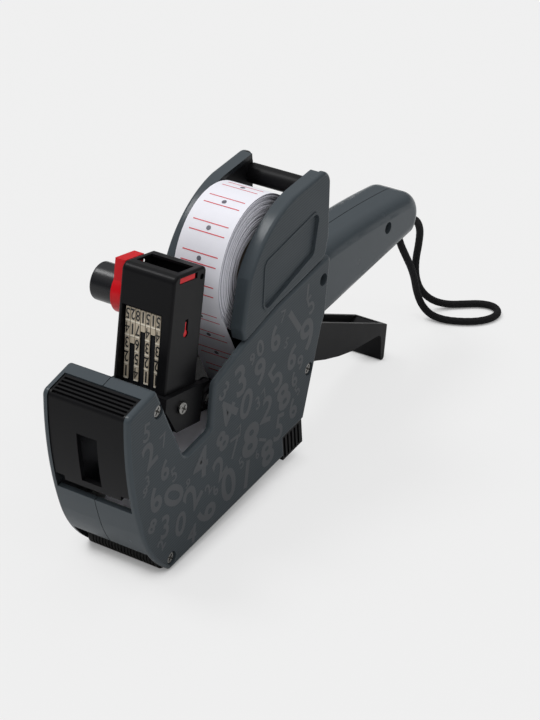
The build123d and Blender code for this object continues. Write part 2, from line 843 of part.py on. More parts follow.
with BuildPart() as ink_core:
    add(tube(ink_rest, ink_core_r, ink_axle_r + running, ink_roller_half + 0.4,
             2 * ink_roller_half + 0.8))
keep("ink_roller_core", ink_core)

# ---------------------------------------------------------------- trigger lever
hub_r = pivot_sleeve_r + running + hub_wall
rivet_seat = (-27.3, 55.0)
arm_path = (lever_pivot, (-4.0, 45.0), (20.0, 52.5), head_point(*rivet_seat))
trigger_floor = ((-42.6, 16.1), (-49.7, 12.3), (-61.0, 7.2), (-71.4, 3.4), (-88.7, -0.8))
trigger_heel = (-101.9, -0.3)
trigger_crest = (-48.7, 31.8)
lip_rear = (-98.2, -16.6)
lip_front = (-95.4, -16.6)
lip_root = (-96.6, -2.8)

with BuildSketch() as trigger_outline:
    with BuildLine():
        Polyline(
            (-19.5, 35.4), (-33.0, 35.2), trigger_crest, trigger_heel, lip_rear, lip_front,
            lip_root, *reversed(trigger_floor), (-20.0, 26.0), (-15.0, 30.6), (-19.5, 35.4),
        )
    make_face()
    for point, radius in (
        (lip_rear, lip_round), (lip_front, lip_round), (lip_root, 3.0), (trigger_heel, 1.0),
        (trigger_crest, 6.0),
    ):
        fillet(corner(trigger_outline, point), radius=radius)

with BuildSketch() as trigger_pocket:
    with BuildLine():
        floor_line = [(x, z + trigger_wall + 0.2) for x, z in trigger_floor]
        Polyline(
            (-27.0, 60.0), (-27.0, 27.0), *floor_line, (-99.3, 1.0), (-99.3, 60.0), (-27.0, 60.0),
        )
    make_face()


def link(start, end, half_width):
    """A bar with round ends between two points, in the current sketch."""
    run = hypot(end[0] - start[0], end[1] - start[1])
    turn = degrees(atan2(end[1] - start[1], end[0] - start[0]))
    with Locations(((start[0] + end[0]) / 2, (start[1] + end[1]) / 2)):
        SlotCenterToCenter(run, 2 * half_width, rotation=turn)


with BuildPart() as trigger_lever:
    with BuildSketch(side(trigger_half)):
        add(trigger_outline.sketch)
    extrude(amount=2 * trigger_half)
    with BuildSketch(side(trigger_half - trigger_wall)):
        add(trigger_pocket.sketch)
    extrude(amount=2 * (trigger_half - trigger_wall), mode=Mode.SUBTRACT)
    for top in (arm_outer, -arm_outer + arm_t):
        with BuildSketch(side(top)):
            disc(lever_pivot, hub_r)
            for start, end in zip(arm_path, arm_path[1:]):
                link(start, end, arm_half)
        extrude(amount=arm_t)
    add(tube(lever_pivot, hub_r, 0, arm_outer, 2 * arm_outer))
    with BuildSketch(side(arm_outer + 1)):
        disc(lever_pivot, pivot_sleeve_r + running)
        disc(head_point(*rivet_seat), screw_r + 0.05)
    extrude(amount=2 * arm_outer + 2, mode=Mode.SUBTRACT)
keep("trigger_lever", trigger_lever)

# ---------------------------------------------------------------- print head
carrier_half = arm_outer
carrier_wall = 1.7
carrier_chamfer = ((carrier_front, 52.0), (-7.0, head_length))
lug_inner = 9.2
lug_outer = arm_outer - arm_t - 0.1
lug_rear = -30.7

with BuildPart() as head_carrier:
    with BuildSketch(head_side(-carrier_half)):
        with BuildLine():
            rear_u = -head_depth - carrier_wall - 0.1
            Polyline(
                (carrier_front, carrier_top), *carrier_chamfer, (rear_u, head_length),
                (rear_u, carrier_top), (carrier_front, carrier_top),
            )
        make_face()
    extrude(amount=2 * carrier_half)
    with BuildSketch(head_side(-head_right - 0.1)):
        block(-head_depth - 0.1, 0.1, carrier_top - 1, head_length + 1)
    extrude(amount=head_left + head_right + 0.2, mode=Mode.SUBTRACT)
    for y in (lug_inner, -lug_outer):
        with BuildSketch(head_side(y)):
            block(lug_rear, rear_u + 0.5, 49.0, 61.0)
        extrude(amount=lug_outer - lug_inner)
    with BuildSketch(head_side(-carrier_half)):
        disc(rivet_seat, screw_r + 0.05)
        disc(screw_on_carrier, screw_r + 0.05)
    extrude(amount=2 * carrier_half, mode=Mode.SUBTRACT)
keep("head_carrier", head_carrier)

with BuildPart() as carrier_rivets:
    rivet_centre = head_point(*rivet_seat)
    for top in (arm_outer + 0.6, -lug_inner + 0.4):
        with BuildSketch(side(top)):
            disc(rivet_centre, screw_r)
        extrude(amount=arm_outer + 0.6 - lug_inner + 0.4)
    for top in (arm_outer + 0.9, -arm_outer):
        with BuildSketch(side(top)):
            disc(rivet_centre, screw_r + 0.9)
        extrude(amount=0.9)
keep("carrier_rivets", carrier_rivets)

with BuildPart() as head_screws:
    screw_centre = head_point(*screw_on_carrier)
    side_screw = screw(screw_centre, carrier_half, head_left - head_wall)
    add(side_screw)
    mirror(side_screw, about=Plane.XZ)
keep("head_screws", head_screws)

head_width = head_left + head_right
head_chamfer = 53.0         # the front is cut back below this
top_wall = 1.0
top_slot_right = 10.2
top_slot_left = 8.8
top_slot_front = -6.0
top_slot_rear = -16.0
pointer = (-13.4, -3.8, 1.3, 3.3)       # the selector's pointer bar: u from, to, w from, to
pointer_bar = 4.7
flag_t = 2.2
window_left = 7.3
window_right = 10.9
window_start = 16.0
keyhole = (-10.5, 24.6)
keyhole_r = 1.5
keyhole_half = 0.9
keyhole_top = 18.8
pin_hole = (-18.0, 3.6)
shaft_r = 2.4
drive_key_r = wheel_bore - 0.2

with BuildPart() as head_housing:
    with BuildSketch(head_side(-head_right)):
        with BuildLine():
            Polyline(
                (0, 0), (0, head_chamfer), (-8.0, head_length), (-head_depth, head_length),
                (-head_depth, 0), (0, 0),
            )
        make_face()
    extrude(amount=head_width)
    front_edges = head_housing.edges().filter_by(Axis.Y).sort_by(Axis.Z)
    fillet(front_edges[-1], radius=3.0)
    rear_edges = head_housing.edges().filter_by(Axis.Y).sort_by(Axis.X)
    fillet(rear_edges.filter_by(lambda e: e.center().Z > head_corner[1] - 8.0)[0], radius=2.0)
    outside = head_housing.faces().filter_by(Axis.Y)
    chamfer_z = head_point(0, head_chamfer)[1]
    fillet(outside.edges().filter_by(lambda e: e.center().Z > chamfer_z), radius=1.1)
    with BuildSketch(head_side(-head_right + head_wall)):
        block(-head_depth + 1.5, -head_wall, top_wall, head_length + 1)
    extrude(amount=head_width - 2 * head_wall, mode=Mode.SUBTRACT)
    with BuildSketch(head_side(-window_right)):
        block(-head_wall - 0.5, 1.0, window_start, head_length + 1)
    extrude(amount=window_right + window_left, mode=Mode.SUBTRACT)
    with BuildSketch(head_side(-top_slot_right)):
        block(top_slot_rear, top_slot_front, -1.0, top_wall + 0.5)
    extrude(amount=top_slot_right + top_slot_left, mode=Mode.SUBTRACT)
    with BuildSketch(head_side(-head_right)):
        block(pointer[0] - 1.4, pointer[1] + 0.3, pointer[2] - 0.2, pointer[3] + 0.2)
        disc(anvil, anvil_pin_r + 0.05)
    extrude(amount=head_width, mode=Mode.SUBTRACT)
    with BuildSketch(head_side(-head_right)):
        disc(spindle, drive_key_r + 0.3)
    extrude(amount=head_wall + 1, mode=Mode.SUBTRACT)
    # keyhole on the left, and the blind pin hole above it
    with BuildSketch(head_side(head_left - head_wall)):
        disc(keyhole, keyhole_r)
        block(keyhole[0] - keyhole_half, keyhole[0] + keyhole_half, keyhole_top, keyhole[1])
    extrude(amount=head_wall, mode=Mode.SUBTRACT)
    with BuildSketch(head_side(head_left - 1.0)):
        disc(pin_hole, 1.2)
    extrude(amount=1.0, mode=Mode.SUBTRACT)
    with BuildSketch(head_side(-head_right)):
        disc(screw_on_carrier, screw_r + 0.05)
    extrude(amount=head_width, mode=Mode.SUBTRACT)
keep("head_housing", head_housing)

with BuildPart() as wheel_detent:
    with BuildSketch(head_side(window_left + 1.0)):
        block(-12.5, -8.5, 18.5, 27.0)
    extrude(amount=head_left - head_wall - window_left - 1.0)
    # its tab, which fills the lower part of the keyhole
    with BuildSketch(head_side(head_left - head_wall)):
        disc(keyhole, keyhole_r - 0.2)
        block(keyhole[0] - 0.3, keyhole[0] + keyhole_half - 0.2, keyhole_top + 1.2, keyhole[1])
    extrude(amount=head_wall - 0.4)
keep("wheel_detent", wheel_detent)

with BuildPart() as type_anvil:
    with BuildSketch(head_side(-head_right + head_wall)):
        disc(anvil, anvil_r - band_slack)
    extrude(amount=head_width - 2 * head_wall)
    with BuildSketch(head_side(-head_right)):
        disc(anvil, anvil_pin_r)
    extrude(amount=head_width)
keep("type_anvil", type_anvil)

wheel_grooves = 10
for i in range(band_count):
    band_y = first_band_y + i * band_pitch - band_width / 2
    with BuildPart() as band_wheel:
        with BuildSketch(head_side(band_y)):
            with Locations(spindle):
                Circle(wheel_r)
                Circle(wheel_bore, mode=Mode.SUBTRACT)
                with PolarLocations(wheel_r, wheel_grooves):
                    Circle(0.6, mode=Mode.SUBTRACT)
        extrude(amount=band_width)
    keep(f"band_wheel_{i + 1}", band_wheel)
    with BuildSketch() as band_inside:
        disc(spindle, wheel_r + band_slack)
        disc(anvil, anvil_r)
        make_hull()
    with BuildPart() as digit_band:
        with BuildSketch(head_side(band_y)):
            disc(spindle, wheel_r + band_slack + band_t)
            disc(anvil, anvil_r + band_t)
            make_hull()
            add(band_inside.sketch, mode=Mode.SUBTRACT)
        extrude(amount=band_width)
    keep(f"digit_band_{i + 1}", digit_band)

slider_inner = -head_right - 0.2

with BuildPart() as selector_slider:
    with BuildSketch(head_side(slider_inner - slider_t)):
        disc(spindle, slider_flange)
        block(-14.5, -2.5, 0.3, spindle[1])
        with Locations(spindle):
            Circle(shaft_r + running, mode=Mode.SUBTRACT)
    extrude(amount=slider_t)
    with BuildSketch(head_side(slider_inner)):
        block(pointer[1] - pointer_bar, *pointer[1:])
    extrude(amount=head_left - 0.2 - slider_inner)
    # the flag at the bar's end, which shows in the slot on the far side
    with BuildSketch(head_side(head_left - 0.2 - flag_t)):
        block(*pointer)
    extrude(amount=flag_t)
keep("selector_slider", selector_slider)

knob_inner = slider_inner - slider_t - 0.2

with BuildPart() as selector_knob:
    with BuildSketch(head_side(knob_inner - knob_length)):
        disc(spindle, knob_r)
    extrude(amount=knob_length)
    fillet(selector_knob.faces().sort_by(Axis.Y)[0].edges(), radius=1.0)
    last_wheel_y = first_band_y + (band_count - 1) * band_pitch
    with BuildSketch(head_side(knob_inner)):
        disc(spindle, shaft_r)
    extrude(amount=last_wheel_y + band_width / 2 - knob_inner)
    with BuildSketch(head_side(last_wheel_y - 0.8)):
        disc(spindle, drive_key_r)
    extrude(amount=1.6)
keep("selector_knob", selector_knob)


# ---------------------------------------------------------------- springs
def coil(centre, mean_r, wire_r, y_start, pitch, turns):
    """A coil spring round an axis along Y."""
    height = pitch * turns
    path = Helix(
        pitch=pitch, height=height, radius=mean_r,
        center=(centre[0], y_start, centre[1]), direction=(0, 1, 0),
    )
    with BuildPart() as blank:
        with BuildLine():
            add(path)
        with BuildSketch(path ^ 0):
            Circle(wire_r)
        sweep(is_frenet=True)
    return blank.part


spring_wire = 0.5
with BuildPart() as return_spring:
    spring_r = hub_r + 0.3 + spring_wire
    spring_start = trigger_half + 0.8
    left_coil = coil(lever_pivot, spring_r, spring_wire, spring_start, 1.15, 2)
    add(left_coil)
    mirror(left_coil, about=Plane.XZ)
keep("return_spring", return_spring)

ink_wire = 0.35
with BuildPart() as ink_spring:
    add(coil(ink_pivot, ink_hub_r + 0.3 + ink_wire, ink_wire, -4.0, 1.0, 6))
keep("ink_arm_spring", ink_spring)

strap_pin_centre = (-119.5, 46.0)
with BuildPart() as strap_pin:
    strap_pin_half = grip_half - grip_wall - 0.2
    add(tube(strap_pin_centre, 1.2, 0, strap_pin_half, 2 * strap_pin_half))
keep("strap_pin", strap_pin)

# ---------------------------------------------------------------- stance on the floor
lip_circle = (lip_front[0] - lip_round, lip_front[1] + lip_round)
span_x = roller_axis[0] - lip_circle[0]
span_z = roller_axis[1] - lip_circle[1]
rest_tilt = acos((roller_r - lip_round) / hypot(span_x, span_z)) - atan2(span_x, span_z)
tilted = Location((0, 0, 0), (0, degrees(rest_tilt), 0))
body_box = Compound([piece.moved(tilted) for piece in pieces.values()]).bounding_box()
body_shift = Location((-body_box.center().X, -body_box.center().Y, -body_box.min.Z))
stance = body_shift * tilted

for name, piece in pieces.items():
    pieces[name] = piece.moved(stance)


# ---------------------------------------------------------------- wrist strap
# The strap's centre line in the floor frame: out of the grip's end, down, round its loop on
# the floor, up again and in through the grip's underside. Both ends are tied to the strap pin.
strap_route = [
    (-108.5, 11.7, 63.5),
    (-115.4, 12.6, 60.2),
    (-121.6, 12.0, 52.4),
    (-125.6, 9.4, 42.4),
    (-128.6, 6.4, 31.6),
    (-131.8, 5.0, 21.0),
    (-136.6, 5.4, 11.6),
    (-142.0, 8.6, 4.9),
    (-147.0, 14.0, 2.0),
    (-152.4, 20.6, 1.75),
    (-157.0, 26.8, 1.75),
    (-158.0, 33.4, 1.75),
    (-153.6, 38.0, 1.75),
    (-147.0, 37.6, 1.75),
    (-141.0, 33.4, 1.75),
    (-136.6, 26.8, 1.75),
    (-133.8, 19.4, 1.75),
    (-133.4, 12.4, 2.6),
    (-132.4, 8.0, 7.4),
    (-129.6, 6.9, 15.4),
    (-124.9, 8.3, 24.0),
    (-119.3, 9.4, 32.6),
    (-113.8, 9.4, 41.0),
    (-109.4, 8.9, 48.6),
    (-107.0, 8.3, 55.6),
    (-106.4, 7.9, 62.0),
]
arc_share = 0.45            # how much of the shorter run each rounded corner takes
strap_hole_r = cord_r + 0.6

strap_points = [Vector(point) for point in strap_route]
strap_runs = [end - start for start, end in zip(strap_points, strap_points[1:])]
strap_radii = []
for before, after in zip(strap_runs, strap_runs[1:]):
    half_turn = radians(before.get_angle(after)) / 2
    strap_radii.append(arc_share * min(before.length, after.length) / tan(half_turn))

with BuildPart() as wrist_strap:
    with BuildLine():
        FilletPolyline(*strap_points, radius=strap_radii)
    with BuildSketch(Plane(origin=strap_points[0], z_dir=strap_runs[0])):
        Circle(cord_r)
    sweep()

# the two holes follow the strap's first run and its last two through the grip's wall
hole_reach = 0.2            # how far a hole runs past each end of its run, as a share
with BuildPart() as strap_holes:
    for start, way in ((strap_points[0], strap_runs[0]), *zip(strap_points[-3:-1], strap_runs[-2:])):
        with BuildSketch(Plane(origin=start - way * hole_reach, z_dir=way)):
            Circle(strap_hole_r)
        extrude(amount=way.length * (1 + 2 * hole_reach))

with BuildPart() as pierced_shell:
    add(pieces["left_shell"])
    add(strap_holes.part, mode=Mode.SUBTRACT)
pieces["left_shell"] = pierced_shell.part
pieces["wrist_strap"] = wrist_strap.part

for name, piece in pieces.items():
    piece.label = name
    export_step(piece, f"parts/{name}.step")
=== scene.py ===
"""Looks for a hand-held labelling machine: finishes, printed paper, type, strap and studio.

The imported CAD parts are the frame. Most of them stay and only get a finish. The wound label
roll and the braided wrist strap take the place of plain solids, and the printed lines and dots,
the type on the digit bands and the scattered digits on the side plates are added. New pieces
are drawn level, in the tool's own frame in metres, and then take the stance of the standing
machine; the strap's route is given in the standing frame.
"""
import json
from math import asin, atan2, ceil, cos, hypot, pi, radians, sin, sqrt
from random import Random

import bpy
from bpy.props import FloatProperty, FloatVectorProperty, IntProperty, PointerProperty
from mathutils import Matrix, Vector


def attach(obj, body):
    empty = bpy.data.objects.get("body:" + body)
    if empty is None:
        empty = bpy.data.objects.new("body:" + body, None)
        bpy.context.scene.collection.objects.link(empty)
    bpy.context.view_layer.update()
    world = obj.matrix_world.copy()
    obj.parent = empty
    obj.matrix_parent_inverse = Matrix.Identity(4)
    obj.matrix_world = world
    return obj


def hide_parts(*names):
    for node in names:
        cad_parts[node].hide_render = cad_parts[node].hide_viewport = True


bl_info = {
    "name": "Labelling machine looks",
    "version": (1, 0, 0),
    "blender": (4, 5, 0),
    "location": "3D View > Sidebar > Labeller",
    "description": "Finishes, printed labels, type, strap and studio of a labelling machine",
    "category": "Object",
}

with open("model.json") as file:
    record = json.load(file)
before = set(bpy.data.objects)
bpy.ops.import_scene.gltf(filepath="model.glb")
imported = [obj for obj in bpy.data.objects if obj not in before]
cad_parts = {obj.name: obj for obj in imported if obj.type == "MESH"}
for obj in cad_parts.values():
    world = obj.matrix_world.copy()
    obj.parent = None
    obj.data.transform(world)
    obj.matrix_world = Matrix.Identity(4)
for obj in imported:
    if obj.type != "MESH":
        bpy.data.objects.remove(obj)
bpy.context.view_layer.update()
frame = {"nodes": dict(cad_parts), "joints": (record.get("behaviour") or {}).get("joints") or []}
nodes = frame["nodes"]
joints = {joint["name"]: joint for joint in frame["joints"]}

mm = 0.001

# ---------------------------------------------------------------- the tool's own frame
MID_Y = joints["trigger_pivot"]["pos_m"][1]
LEVER_PIVOT = Vector((-18.9, 0, 30.6)) * mm
ROLL_CENTRE = Vector((0, 0, 88.0)) * mm


def stance_matrix():
    """From the level tool frame to the frame in which the machine stands."""
    pivot = Vector(joints["trigger_pivot"]["pos_m"])
    roll = Vector(joints["label_roll_spin"]["pos_m"])
    level = ROLL_CENTRE - LEVER_PIVOT
    standing = roll - pivot
    tilt = atan2(standing.x, standing.z) - atan2(level.x, level.z)
    turn = Matrix.Rotation(tilt, 4, "Y")
    return Matrix.Translation(roll - turn @ ROLL_CENTRE) @ turn


STANCE = stance_matrix()

# print head, in its own side view: u forward along its top, w down along its front
HEAD_CORNER = Vector((54.0, 0, 113.6)) * mm
HEAD_LEAN = radians(16.03)
HEAD_U = Vector((cos(HEAD_LEAN), 0, sin(HEAD_LEAN)))
HEAD_W = Vector((sin(HEAD_LEAN), 0, -cos(HEAD_LEAN)))

BODY_HALF = 19.85 * mm          # outer face of each side plate

# label stock
ROLL_OUTER = 26.9 * mm
ROLL_INNER = 14.8 * mm
LABEL_HALF = 10.75 * mm
STRIP_THICKNESS = 0.25 * mm
STRIP_CLEARANCE = 0.3 * mm      # from the roll to the back of the free web
GUIDE_CENTRE = Vector((14.0, 0, 29.75)) * mm
GUIDE_RADIUS = 5.8 * mm
GUIDE_GAP = 0.1 * mm            # from the guide to the face of the free web
FIRST_DOT_ANGLE = 0.53          # where a feed dot lies on the roll
INK_THICKNESS = 0.06 * mm


# ---------------------------------------------------------------- settings
class LabellerFinish(bpy.types.PropertyGroup):
    """Colours of the machine's plastics, paper, type and cord."""

    slate: FloatVectorProperty(
        name="Casing", description="Grey of the casing and its covers",
        subtype="COLOR", default=(0.052, 0.064, 0.073), min=0, max=1)
    plate: FloatVectorProperty(
        name="Side plate", description="Warmer grey of the flat side plates",
        subtype="COLOR", default=(0.034, 0.042, 0.048), min=0, max=1)
    plate_digit: FloatVectorProperty(
        name="Plate digits", description="Tone of the digits on the side plates",
        subtype="COLOR", default=(0.064, 0.069, 0.075), min=0, max=1)
    black: FloatVectorProperty(
        name="Black plastic", description="Print head, front cover, trigger and frame",
        subtype="COLOR", default=(0.0060, 0.0060, 0.0068), min=0, max=1)
    red: FloatVectorProperty(
        name="Selector", description="Red of the selector slider",
        subtype="COLOR", default=(0.56, 0.002, 0.008), min=0, max=1)
    paper: FloatVectorProperty(
        name="Labels", description="White of the labels",
        subtype="COLOR", default=(0.80, 0.80, 0.86), min=0, max=1)
    ruled: FloatVectorProperty(
        name="Label lines", description="Red of the lines on the labels",
        subtype="COLOR", default=(0.55, 0.035, 0.06), min=0, max=1)
    dot: FloatVectorProperty(
        name="Label dots", description="Grey of the feed dots on the labels",
        subtype="COLOR", default=(0.10, 0.10, 0.125), min=0, max=1)
    ivory: FloatVectorProperty(
        name="Type", description="Ivory of the type on the digit bands",
        subtype="COLOR", default=(0.62, 0.54, 0.42), min=0, max=1)
    cord: FloatVectorProperty(
        name="Wrist strap", description="Black of the braided wrist strap",
        subtype="COLOR", default=(0.0045, 0.0045, 0.005), min=0, max=1)


class LabellerSizes(bpy.types.PropertyGroup):
    """Sizes of the details that are modelled on the CAD parts."""

    label_pitch: FloatProperty(
        name="Label pitch", description="From one label to the next",
        unit="LENGTH", default=12.0 * mm)
    line_offset: FloatProperty(
        name="Line offset", description="From a feed dot to the lines beside it",
        unit="LENGTH", default=2.0 * mm)
    line_half: FloatProperty(
        name="Line half length", description="Half the length of a printed line",
        unit="LENGTH", default=8.1 * mm)
    dot_radius: FloatProperty(
        name="Dot radius", description="Radius of a feed dot",
        unit="LENGTH", default=1.0 * mm)
    roll_turns: IntProperty(
        name="Turns of the roll", description="How often the label web is wound", default=30)
    digit_pitch: FloatProperty(
        name="Digit pitch", description="From digit to digit along a band",
        unit="LENGTH", default=5.95 * mm)
    hatch_pitch: FloatProperty(
        name="Hatch pitch", description="Distance of the fine lines on the side plates",
        unit="LENGTH", default=1.2 * mm)
    cord_diameter: FloatProperty(
        name="Strap diameter", description="Thickness of the wrist strap",
        unit="LENGTH", default=3.4 * mm)


# ---------------------------------------------------------------- small helpers
def deselect():
    for thing in bpy.context.selected_objects:
        thing.select_set(False)


def only(thing):
    """Makes the object the one that the next operator acts on."""
    deselect()
    thing.select_set(True)
    bpy.context.view_layer.objects.active = thing
    return thing


def settle(thing, name):
    """Names a finished piece and writes its place in the standing machine into its mesh."""
    thing.name = name
    thing.data.name = name
    thing.matrix_world = STANCE @ thing.matrix_world
    only(thing)
    bpy.ops.object.transform_apply(location=True, rotation=True, scale=True)
    return thing


def join(things, name):
    """Joins single pieces into one object in the frame of the standing machine."""
    deselect()
    for thing in things:
        thing.select_set(True)
    bpy.context.view_layer.objects.active = things[0]
    bpy.ops.object.join()
    whole = bpy.context.view_layer.objects.active
    bpy.ops.object.transform_apply(location=True, rotation=True, scale=True)
    whole.matrix_world = Matrix.Identity(4)
    return settle(whole, name)


def copy_at(thing, place):
    """A copy with its own mesh, at a place in the tool frame."""
    twin = thing.copy()
    twin.data = thing.data.copy()
    bpy.context.collection.objects.link(twin)
    twin.matrix_world = place
    return twin


def placed(origin, across, up):
    """Matrix of a flat thing whose x runs across and y up, facing the viewer."""
    across, up = across.normalized(), up.normalized()
    normal = across.cross(up)
    place = Matrix((across, up, normal)).transposed().to_4x4()
    place.translation = origin
    return place


def drop(*things):
    for thing in things:
        bpy.data.objects.remove(thing, do_unlink=True)


def from_points(name, points, faces):
    mesh = bpy.data.meshes.new(name)
    mesh.from_pydata(points, [], faces)
    mesh.update()
    thing = bpy.data.objects.new(name, mesh)
    bpy.context.collection.objects.link(thing)
    return thing


def glyph(character, height, width_share=1.0, thickness=0.03 * mm, weight=0.0):
    """A thin solid character, centred on its own origin."""
    deselect()
    bpy.ops.object.text_add()
    text = bpy.context.object
    text.data.body = character
    text.data.resolution_u = 4
    text.data.align_x = "CENTER"
    text.data.align_y = "CENTER"
    text.data.extrude = thickness
    text.data.offset = weight
    bpy.ops.object.convert(target="MESH")
    solid = bpy.context.object
    low = Vector(map(min, zip(*(v.co for v in solid.data.vertices))))
    high = Vector(map(max, zip(*(v.co for v in solid.data.vertices))))
    middle = (low + high) / 2
    scale = height / (high.y - low.y)
    sized = Matrix.Diagonal((scale * width_share, scale, 1, 1))
    solid.data.transform(sized @ Matrix.Translation(-middle))
    return solid


def bar(size, bevel=0.0):
    """A small block, its edges eased."""
    deselect()
    bpy.ops.mesh.primitive_cube_add(size=1)
    block = bpy.context.object
    block.scale = size
    bpy.ops.object.transform_apply(location=False, rotation=False, scale=True)
    if bevel:
        eased = block.modifiers.new("eased", "BEVEL")
        eased.width = bevel
        eased.segments = 2
        bpy.ops.object.modifier_apply(modifier=eased.name)
    return block


# ---------------------------------------------------------------- shader groups
def group_of(name, inputs, outputs):
    """A new node group with its sockets; returns it with its ends."""
    tree = bpy.data.node_groups.new(name, "ShaderNodeTree")
    for label, kind, value in inputs:
        socket = tree.interface.new_socket(label, in_out="INPUT", socket_type=kind)
        if value is not None:
            socket.default_value = value
    for label, kind in outputs:
        tree.interface.new_socket(label, in_out="OUTPUT", socket_type=kind)
    return tree, tree.nodes.new("NodeGroupInput"), tree.nodes.new("NodeGroupOutput")


def math(tree, operation, first, second=None, third=None):
    node = tree.nodes.new("ShaderNodeMath")
    node.operation = operation
    for socket, value in zip(node.inputs, (first, second, third)):
        if value is None:
            continue
        if isinstance(value, (int, float)):
            socket.default_value = value
        else:
            tree.links.new(value, socket)
    return node.outputs[0]


def noise(tree, vector, scale, detail=2.0, roughness=0.5):
    node = tree.nodes.new("ShaderNodeTexNoise")
    node.inputs["Detail"].default_value = detail
    node.inputs["Roughness"].default_value = roughness
    tree.links.new(vector, node.inputs["Vector"])
    if isinstance(scale, (int, float)):
        node.inputs["Scale"].default_value = scale
    else:
        tree.links.new(scale, node.inputs["Scale"])
    return node.outputs["Fac"]


def ranged(tree, value, low, high, to_low=0.0, to_high=1.0):
    node = tree.nodes.new("ShaderNodeMapRange")
    node.inputs["From Min"].default_value = low
    node.inputs["From Max"].default_value = high
    for label, limit in (("To Min", to_low), ("To Max", to_high)):
        if isinstance(limit, (int, float)):
            node.inputs[label].default_value = limit
        else:
            tree.links.new(limit, node.inputs[label])
    tree.links.new(value, node.inputs["Value"])
    return node.outputs["Result"]


def mixed(tree, share, first, second):
    node = tree.nodes.new("ShaderNodeMix")
    node.data_type = "RGBA"
    for label, value in (("Factor", share), ("A", first), ("B", second)):
        socket = next(s for s in node.inputs if s.name == label and (
            s.type == ("VALUE" if label == "Factor" else "RGBA")))
        if isinstance(value, (int, float)):
            socket.default_value = value
        elif isinstance(value, bpy.types.NodeSocket):
            tree.links.new(value, socket)
        else:
            socket.default_value = (*value[:3], 1)
    return next(s for s in node.outputs if s.type == "RGBA")


def scaled(tree, colour, tone):
    """A colour made lighter or darker by a value."""
    node = tree.nodes.new("ShaderNodeVectorMath")
    node.operation = "SCALE"
    tree.links.new(colour, node.inputs[0])
    tree.links.new(tone, node.inputs["Scale"])
    return node.outputs[0]


def stretched(tree, vector, along):
    """The vector with its Y scaled, which draws a pattern out along Y."""
    node = tree.nodes.new("ShaderNodeMapping")
    node.inputs["Scale"].default_value = (1.0, along, 1.0)
    tree.links.new(vector, node.inputs["Vector"])
    return node.outputs["Vector"]


def make_moulded():
    """Moulded plastic: a fine grain, slow drift of tone and of gloss."""
    tree, start, end = group_of(
        "moulded plastic",
        [("Vector", "NodeSocketVector", None), ("Color", "NodeSocketColor", (0.1, 0.1, 0.1, 1)),
         ("Roughness", "NodeSocketFloat", 0.4), ("Grain", "NodeSocketFloat", 2600.0),
         ("Drift", "NodeSocketFloat", 0.06)],
        [("Color", "NodeSocketColor"), ("Roughness", "NodeSocketFloat"),
         ("Height", "NodeSocketFloat")])
    grain = noise(tree, start.outputs["Vector"], start.outputs["Grain"], 3.0, 0.6)
    slow = noise(tree, start.outputs["Vector"], 38.0, 3.0)
    low = math(tree, "SUBTRACT", 1.0, start.outputs["Drift"])
    high = math(tree, "ADD", 1.0, start.outputs["Drift"])
    shade = scaled(tree, start.outputs["Color"], ranged(tree, slow, 0.3, 0.7, low, high))
    patches = noise(tree, start.outputs["Vector"], 70.0, 2.0)
    gloss = math(tree, "MULTIPLY", start.outputs["Roughness"],
                 ranged(tree, patches, 0.3, 0.7, 0.95, 1.06))
    tree.links.new(shade, end.inputs["Color"])
    tree.links.new(gloss, end.inputs["Roughness"])
    tree.links.new(grain, end.inputs["Height"])
    return tree


def make_hatch():
    """Fine parallel lines across the direction of Slant, as a mask from 0 to 1."""
    tree, start, end = group_of(
        "fine hatch",
        [("Vector", "NodeSocketVector", None), ("Pitch", "NodeSocketFloat", 0.0008),
         ("Slant", "NodeSocketVector", (0.8, 0, 0.6))],
        [("Line", "NodeSocketFloat")])
    along = tree.nodes.new("ShaderNodeVectorMath")
    along.operation = "DOT_PRODUCT"
    tree.links.new(start.outputs["Vector"], along.inputs[0])
    tree.links.new(start.outputs["Slant"], along.inputs[1])
    wobble = noise(tree, start.outputs["Vector"], 260.0, 2.0)
    turns = math(tree, "DIVIDE", along.outputs["Value"], start.outputs["Pitch"])
    phase = math(tree, "MULTIPLY_ADD", turns, 2 * pi, wobble)
    wave = math(tree, "SINE", phase)
    tree.links.new(ranged(tree, wave, -1.0, 1.0), end.inputs["Line"])
    return tree


def make_fibre():
    """Paper and card: soft mottling and short fibres."""
    tree, start, end = group_of(
        "paper fibre",
        [("Vector", "NodeSocketVector", None), ("Color", "NodeSocketColor", (0.8, 0.8, 0.8, 1)),
         ("Mottle", "NodeSocketFloat", 0.03)],
        [("Color", "NodeSocketColor"), ("Height", "NodeSocketFloat")])
    fibre = noise(tree, stretched(tree, start.outputs["Vector"], 0.35), 3200.0, 3.0, 0.7)
    soft = noise(tree, start.outputs["Vector"], 180.0, 3.0)
    tone = ranged(tree, soft, 0.3, 0.7, math(tree, "SUBTRACT", 1.0, start.outputs["Mottle"]), 1.0)
    tree.links.new(scaled(tree, start.outputs["Color"], tone), end.inputs["Color"])
    tree.links.new(fibre, end.inputs["Height"])
    return tree


# ---------------------------------------------------------------- materials
# painted shade: the dark colour given to the faces that look into the casing, standing for the
# shade inside it
PAINTED_SHADE_INSIDE = (0.012, 0.014, 0.016)
HATCH_ACROSS = (0.113, 0.0, 0.994)      # the fine lines run along the casing's lower edge


def fresh(name):
    """A material with its shader and its object coordinates."""
    material = bpy.data.materials.new(name)
    material.use_nodes = True
    tree = material.node_tree
    shader = tree.nodes["Principled BSDF"]
    place = tree.nodes.new("ShaderNodeTexCoord").outputs["Object"]
    return material, tree, shader, place


